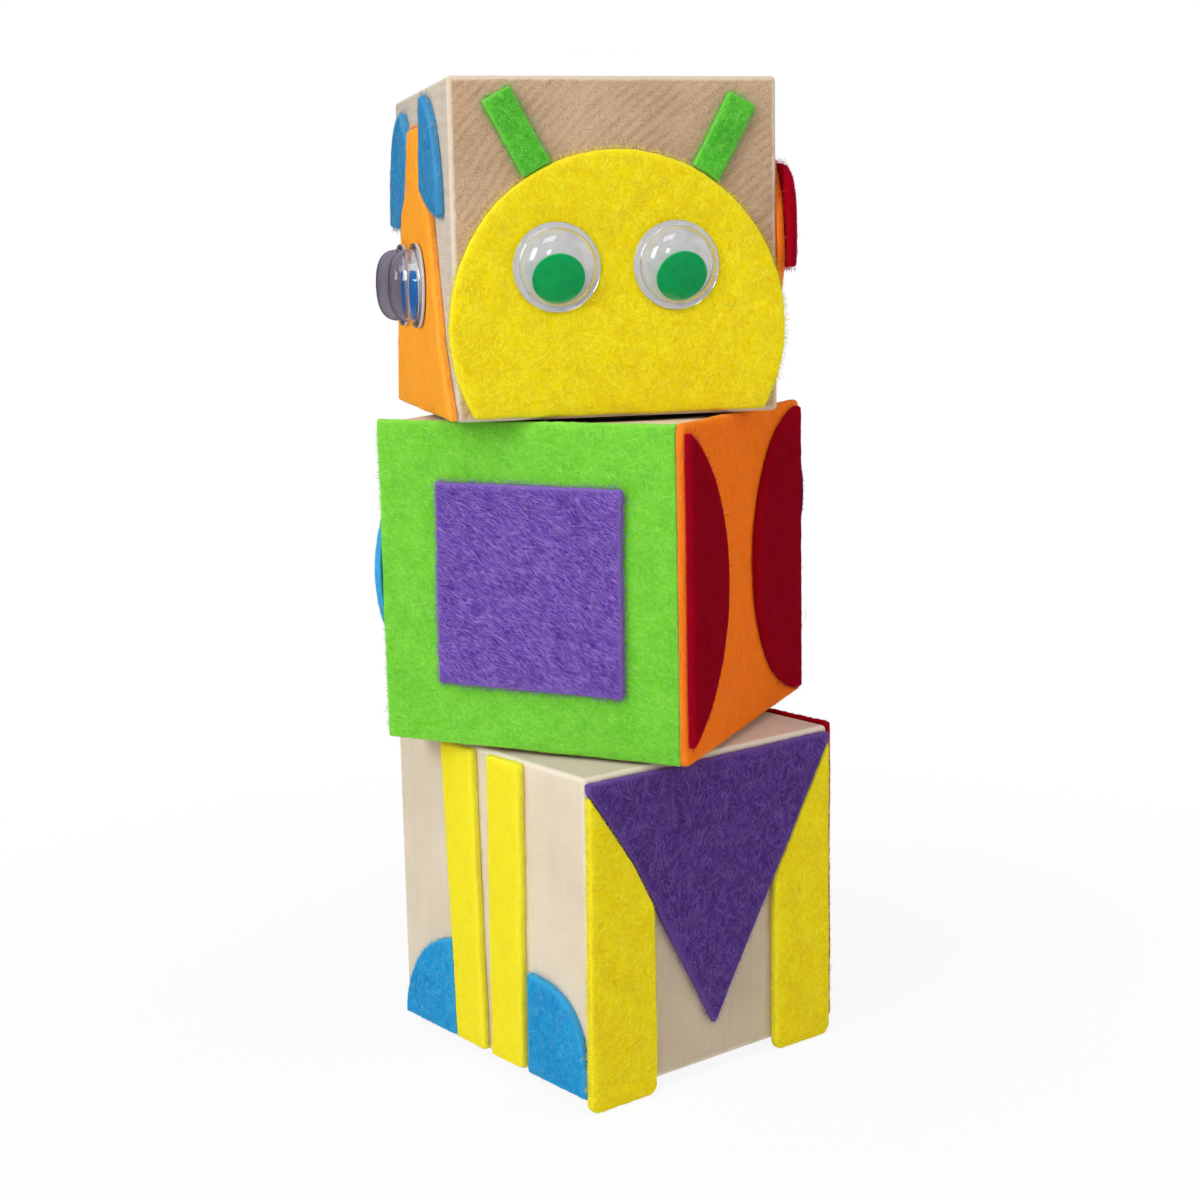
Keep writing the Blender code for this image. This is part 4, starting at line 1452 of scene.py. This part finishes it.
@dataclass
class TapePad:
    """A round pad of hook or loop tape: woven backing and the strands on it."""

    node: str
    tape: TapeFinish
    nap: Nap
    seed: int
    backing_share: float = 0.45
    pitch: float = 0.0016
    radius_of_strand: float = 0.00010
    edge: float = 0.00008

    def build(self, cube: "StackCube") -> None:
        """Make the pad where its solid is.

        Args:
            cube: the cube that the pad is glued to, not used.
        """
        low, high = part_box(self.node)
        middle, radius = (low + high) / 2, (high.x - low.x) / 2
        thick = high.z - low.z
        toward = self.nap.value
        seat = Matrix.Translation((middle.x, middle.y, low.z if toward > 0 else high.z))
        ends = sorted((0.0, toward * thick * self.backing_share))
        disc = rounded_disc(radius, ends[0], ends[1], self.edge)
        backing = lathe(self.node + "_backing", disc, seat, MATERIALS.backing(self.tape))
        strands = self._strands(radius - self.edge, toward * thick)
        nap = strands.build(self.node + "_nap", seat, MATERIALS.strands(self.tape))
        lay_pad(self.node, self.tape.name, backing, nap)

    def _strands(self, radius: float, height: float) -> Strands:
        """Hooks or loops in loose rows out to the pad's rim.

        Args:
            radius: how far out they stand.
            height: how far they reach from the backing's glued side, below it if negative.

        Returns:
            The strands.
        """
        chance = np.random.default_rng(self.seed)
        strands = Strands()
        count = int(radius / self.pitch)
        for row in range(-count, count + 1):
            for column in range(-count, count + 1):
                shift = chance.uniform(-0.3, 0.3, 2)
                foot = Vector(((column + shift[0]) * self.pitch, (row + shift[1]) * self.pitch, 0.0))
                if foot.length > radius - self.pitch / 2:
                    continue
                angle = chance.uniform(0, 2 * math.pi)
                reach = heading(angle) * self.pitch * 0.35
                low = UP * height * self.backing_share * 0.7
                top = UP * height * chance.uniform(0.86, 0.98)
                end = foot + reach + (low if self.nap is Nap.LOOPS_UP else top * 0.8)
                path = [foot + low, foot + top * 0.85, foot + reach * 0.5 + top, end]
                strands.add(path, self.radius_of_strand * chance.uniform(0.7, 1.1), chance.uniform(0.0, 1.0))
        return strands


@dataclass
class FootPad:
    """The felt disc that the figure stands on."""

    node: str = "foot_pad"
    seed: int = 91
    edge: float = 0.0006
    fibres: int = 700

    def build(self, cube: "StackCube") -> None:
        """Make the disc and the fibres round its rim.

        Args:
            cube: the cube that stands on it, not used.
        """
        low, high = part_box(self.node)
        middle, radius = (low + high) / 2, (high.x - low.x) / 2
        thick = high.z - low.z
        seat = Matrix.Translation((middle.x, middle.y, low.z))
        disc = rounded_disc(radius, 0.0, thick, self.edge)
        pad = lathe(self.node + "_sheet", disc, seat, MATERIALS.sheet(Felt.FOOT))
        chance = np.random.default_rng(self.seed)
        strands = Strands()
        for _ in range(self.fibres):
            angle = chance.uniform(0, 2 * math.pi)
            out = heading(angle)
            start = out * (radius - 0.1 * MM) + UP * chance.uniform(0.3, 0.85) * thick
            lean = left_of(out) * chance.normal(0.0, 0.8) + UP * chance.normal(0.0, 0.15)
            aim = (out + lean) * chance.uniform(0.3, 0.9) * MM
            path = [start, start + aim * 0.35, start + aim * 0.7, start + aim]
            strands.add(path, 0.04 * MM, chance.uniform(0.2, 1.0))
        fuzz = strands.build(self.node + "_fuzz", seat, MATERIALS.fibres(Felt.FOOT))
        lay_pad(self.node, Felt.FOOT.value.name, pad, fuzz)


@dataclass
class StackCube:
    """A wooden cube of the stack with everything that is glued to it."""

    block: str
    turn_deg: float
    wood: WoodFinish
    felts: list[FeltPiece]
    pads: list[Union[TapePad, FootPad]]
    eyes: list[GooglyEye] = field(default_factory=list)
    edge_round: float = 0.0011
    edge_steps: int = 5

    def __post_init__(self) -> None:
        """Take the cube's side and place from its solid."""
        low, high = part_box(self.block)
        self.side = high.z - low.z
        self.middle = (low + high) / 2

    def face(self, side: Side) -> Matrix:
        """Axes of one face: x to the right, y up from the cube's underside, z straight out.

        Args:
            side: which face.

        Returns:
            The axes, with their origin in the middle of the face's lower edge.
        """
        turn = Matrix.Rotation(math.radians(self.turn_deg + side.value), 4, "Z")
        out = turn @ Vector((0.0, -1.0, 0.0))
        right = turn @ Vector((1.0, 0.0, 0.0))
        origin = self.middle + out * self.side / 2 - UP * self.side / 2
        columns = (right.to_4d(), UP.to_4d(), out.to_4d(), origin.to_4d())
        matrix = Matrix(columns).transposed()
        matrix[3][:] = (0.0, 0.0, 0.0, 1.0)
        return matrix

    def build(self) -> None:
        """Make the block, its pads, its felt and its eyes."""
        self._block()
        for part in (*self.pads, *self.felts, *self.eyes):
            part.build(self)

    def _block(self) -> None:
        """The wooden block, with rounded edges and corners."""
        shape = bmesh.new()
        bmesh.ops.create_cube(shape, size=self.side)
        bmesh.ops.bevel(shape, geom=shape.edges[:], offset=self.edge_round, segments=self.edge_steps,
                        profile=0.5, affect="EDGES")
        verts = [vert.co.copy() for vert in shape.verts]
        shape.verts.index_update()
        faces = [tuple(vert.index for vert in side.verts) for side in shape.faces]
        shape.free()
        place = Matrix.Translation(self.middle) @ Matrix.Rotation(math.radians(self.turn_deg), 4, "Z")
        piece = add_object(self.block + "_wood", verts, faces, place, self.wood.material(self.side / 2))
        stand_for(self.block, "wood", piece)
        LOG.info("block %s", self.block)


def legs_cube() -> StackCube:
    """List the lowest cube's pieces: yellow legs, blue shoes, and a purple skirt over yellow legs.

    Returns:
        The cube, not yet built.
    """
    felts = [
        FeltPiece("left_leg_strip", Felt.LEMON, Side.FRONT, 11, fibre_density=0.25e6),
        FeltPiece("right_leg_strip", Felt.LEMON, Side.FRONT, 12, fibre_density=0.25e6),
        FeltPiece("left_shoe", Felt.BLUE, Side.FRONT, 13, tuft_share=0.7),
        FeltPiece("right_shoe", Felt.BLUE, Side.FRONT, 14, tuft_share=0.7),
        FeltPiece("skirt_triangle", Felt.GRAPE, Side.RIGHT, 15),
        FeltPiece("skirt_left_leg", Felt.YELLOW, Side.RIGHT, 16),
        FeltPiece("skirt_right_leg", Felt.YELLOW, Side.RIGHT, 17),
        FeltPiece("red_trousers", Felt.RED, Side.BACK, 18, tuft_share=0.3),
        FeltPiece("rear_left_strip", Felt.GREEN, Side.LEFT, 19),
        FeltPiece("rear_right_strip", Felt.GREEN, Side.LEFT, 20),
    ]
    pads = [FootPad(), TapePad("legs_loop_pad", LOOP_TAPE, Nap.LOOPS_UP, 92)]
    return StackCube("legs_block", -65.65, LEGS_WOOD, felts, pads)


def body_cube() -> StackCube:
    """List the middle cube's pieces: green shirt with a purple patch, orange coat with red lapels.

    Returns:
        The cube, not yet built.
    """
    felts = [
        FeltPiece("shirt_panel", Felt.GREEN, Side.FRONT, 31, tuft_share=0.7),
        FeltPiece("shirt_patch", Felt.PURPLE, Side.FRONT, 32, under="shirt_panel", edge_lift=0.0004),
        FeltPiece("coat_panel", Felt.ORANGE, Side.RIGHT, 33, corner_round=0.0018, tuft_share=0.6),
        FeltPiece("coat_near_lapel", Felt.RED, Side.RIGHT, 34, under="coat_panel"),
        FeltPiece("coat_far_lapel", Felt.RED, Side.RIGHT, 35, under="coat_panel", corner_round=0.0014,
                  tuft_share=0.6),
        FeltPiece("belly_oval", Felt.BLUE, Side.LEFT, 36, tuft_share=0.3),
        # The back panel wears the purple felt with painted shade.
        FeltPiece("body_rear_panel", Felt.PURPLE_PAINTED_SHADE, Side.BACK, 37, tuft_share=0.3),
    ]
    pads = [TapePad("body_hook_pad", HOOK_TAPE, Nap.HOOKS_DOWN, 93),
            TapePad("body_loop_pad", LOOP_TAPE, Nap.LOOPS_UP, 94)]
    return StackCube("body_block", -38.65, BODY_WOOD, felts, pads)


def head_cube() -> StackCube:
    """List the top cube's pieces: a yellow face with antennae, and an orange one with blue hair.

    Returns:
        The cube, not yet built.
    """
    felts = [
        FeltPiece("face_disc", Felt.YELLOW, Side.FRONT, 51),
        FeltPiece("left_antenna", Felt.LEAF, Side.FRONT, 52),
        FeltPiece("right_antenna", Felt.LEAF, Side.FRONT, 53),
        # The head's left face wears the orange felt with painted light.
        FeltPiece("side_face", Felt.ORANGE_PAINTED_LIT, Side.LEFT, 54, fibre_density=0.12e6),
        FeltPiece("side_near_hair", Felt.DENIM, Side.LEFT, 55),
        FeltPiece("side_far_hair", Felt.DENIM, Side.LEFT, 56),
        FeltPiece("right_face", Felt.ORANGE, Side.RIGHT, 57),
        FeltPiece("right_near_ear", Felt.RED, Side.RIGHT, 58, under="right_face"),
        FeltPiece("right_far_ear", Felt.RED, Side.RIGHT, 59, under="right_face"),
        FeltPiece("head_rear_disc", Felt.PURPLE, Side.BACK, 60),
    ]
    eyes = [
        GooglyEye("left_eye", Side.FRONT, GREEN_PUPIL),
        GooglyEye("right_eye", Side.FRONT, GREEN_PUPIL),
        GooglyEye("side_near_eye", Side.LEFT, BLUE_PUPIL),
        GooglyEye("side_far_eye", Side.LEFT, BLUE_PUPIL),
    ]
    pads = [TapePad("head_hook_pad", HOOK_TAPE, Nap.HOOKS_DOWN, 95)]
    return StackCube("head_block", 0.0, HEAD_WOOD, felts, pads, eyes)


@dataclass(frozen=True)
class SoftLamp:
    """A square lamp that shines on the figure's middle."""

    name: str
    spot: Point
    size: float
    watts: float
    aim: Point = (0.0, 0.0, 0.11)

    def hang(self) -> None:
        """Put the lamp up."""
        lamp = bpy.data.lights.new(self.name, "AREA")
        lamp.size = self.size
        lamp.energy = self.watts
        holder = bpy.data.objects.new(self.name, lamp)
        holder.location = self.spot
        aim = Vector(self.aim) - Vector(self.spot)
        holder.rotation_euler = aim.to_track_quat("-Z", "Y").to_euler()
        bpy.context.scene.collection.objects.link(holder)


@dataclass
class Studio:
    """White floor, soft light from the upper left and from above, a window, and the photograph's camera."""

    lens: float = 59.65
    sensor: float = 36.0
    spot: Point = (-0.11943, -0.46907, 0.19374)
    yaw_deg: float = 14.07
    pitch_deg: float = 9.745
    roll_deg: float = -1.18
    floor_side: float = 12.0
    sky: float = 0.36
    room_in_gloss: float = 0.05
    room_in_glass: float = 0.30
    room_tint: Colour = (232, 222, 246)
    room_overhead: float = 1.9
    room_level: float = 0.9
    floor_near: float = 0.06
    floor_far: float = 0.30
    floor_glow: float = 0.90
    lamps: tuple[SoftLamp, ...] = (
        SoftLamp("key", (-0.92, -0.52, 0.737), 0.55, 7.9),
        SoftLamp("fill", (0.90, -0.35, 0.45), 0.9, 2.3),
        SoftLamp("top", (-0.177, -0.485, 1.081), 0.45, 2.8),
        SoftLamp("window", (-0.089, -1.016, 0.523), 0.12, 0.8),
    )

    def build(self) -> None:
        """Make the floor, the lights and the camera."""
        self._view()
        self._sky()
        self._floor()
        for lamp in self.lamps:
            lamp.hang()
        self._camera()

    def _view(self) -> None:
        """Show colours as they are written."""
        bpy.context.scene.view_settings.view_transform = "Standard"

    def _rays(self, graph: Graph) -> tuple[Socket, Socket, Socket, Socket]:
        """Tell what the camera sees, itself or by gloss or glass, from the light that falls on the figure.

        Args:
            graph: the nodes of the floor or of the sky.

        Returns:
            1 for the camera's own rays, 1 for mirrored or bent ones, the room's strength to those, and the
            colour that any ray sees.
        """
        path = graph.add("ShaderNodeLightPath")
        glass = path.outputs["Is Transmission Ray"]
        bent = graph.math("MAXIMUM", path.outputs["Is Glossy Ray"], glass)
        direct = graph.math("LESS_THAN", path.outputs["Diffuse Depth"], 0.5)
        mirrored = graph.math("MULTIPLY", bent, direct)
        room = graph.spread(glass, 0.0, 1.0, self.room_in_gloss, self.room_in_glass)
        colour = graph.mix(mirrored, paint(WHITE), paint(self.room_tint))
        return path.outputs["Is Camera Ray"], mirrored, room, colour

    def _sky(self) -> None:
        """Even light from all round: white to the camera, and a dim room in gloss and glass."""
        world = bpy.data.worlds.new("studio")
        bpy.context.scene.world = world
        world.use_nodes = True
        graph = Graph(world.node_tree)
        light = world.node_tree.nodes["Background"]
        camera, mirrored, room, colour = self._rays(graph)
        graph.feed(light.inputs["Color"], colour)
        upward = graph.split(graph.place("Generated"))[2]
        lift = graph.spread(upward, 0.0, 0.5, self.room_level, self.room_overhead)
        level = graph.spread(mirrored, 0.0, 1.0, self.sky, graph.math("MULTIPLY", room, lift))
        seen = graph.math("MULTIPLY", camera, graph.math("SUBTRACT", 1.0, level))
        graph.feed(light.inputs["Strength"], graph.math("ADD", level, seen))

    def _floor(self) -> None:
        """A wide white floor that keeps the figure's shadow."""
        made, graph, shader = new_material("floor")
        shader.inputs["Base Color"].default_value = (0.86, 0.86, 0.86, 1.0)
        shader.inputs["Roughness"].default_value = 1.0
        shader.inputs["Specular IOR Level"].default_value = 0.0
        glow = graph.add("ShaderNodeEmission")
        either = graph.add("ShaderNodeMixShader")
        away = graph.vector("LENGTH", graph.place())
        share = graph.spread(away, self.floor_near, self.floor_far, self.floor_glow, 1.0)
        camera, mirrored, room, colour = self._rays(graph)
        graph.feed(glow.inputs["Color"], colour)
        graph.feed(glow.inputs["Strength"], graph.spread(mirrored, 0.0, 1.0, 1.0, room))
        seen = graph.math("MULTIPLY", camera, share)
        graph.feed(either.inputs[0], graph.math("MAXIMUM", seen, mirrored))
        graph.feed(either.inputs[1], shader.outputs[0])
        graph.feed(either.inputs[2], glow.outputs[0])
        graph.feed(made.node_tree.nodes["Material Output"].inputs["Surface"], either.outputs[0])
        half = self.floor_side / 2
        corners = [(-half, -half, 0.0), (half, -half, 0.0), (half, half, 0.0), (-half, half, 0.0)]
        add_object("floor", corners, [(0, 1, 2, 3)], Matrix.Identity(4), made)

    def _camera(self) -> None:
        """The camera, turned and tipped as the photograph was taken."""
        yaw, pitch, roll = (math.radians(angle) for angle in (self.yaw_deg, self.pitch_deg, self.roll_deg))
        ahead = Vector((math.sin(yaw) * math.cos(pitch), math.cos(yaw) * math.cos(pitch), -math.sin(pitch)))
        level = Vector((math.cos(yaw), -math.sin(yaw), 0.0))
        upward = level.cross(ahead)
        across = level * math.cos(roll) + upward * math.sin(roll)
        tall = upward * math.cos(roll) - level * math.sin(roll)
        camera = bpy.data.cameras.new("camera")
        camera.lens = self.lens
        camera.sensor_width = self.sensor
        camera.sensor_fit = "HORIZONTAL"
        camera.clip_start = 0.01
        holder = bpy.data.objects.new("camera", camera)
        turn = Matrix((across, tall, -ahead)).transposed().to_4x4()
        holder.matrix_world = Matrix.Translation(self.spot) @ turn
        bpy.context.scene.collection.objects.link(holder)
        bpy.context.scene.camera = holder


def main() -> None:
    """Build the cubes from the floor up, then the studio."""
    logging.basicConfig(level=logging.INFO, format="%(name)s %(message)s")
    for cube in (legs_cube(), body_cube(), head_cube()):
        cube.build()
    Studio().build()


if __name__ == "__main__":
    main()
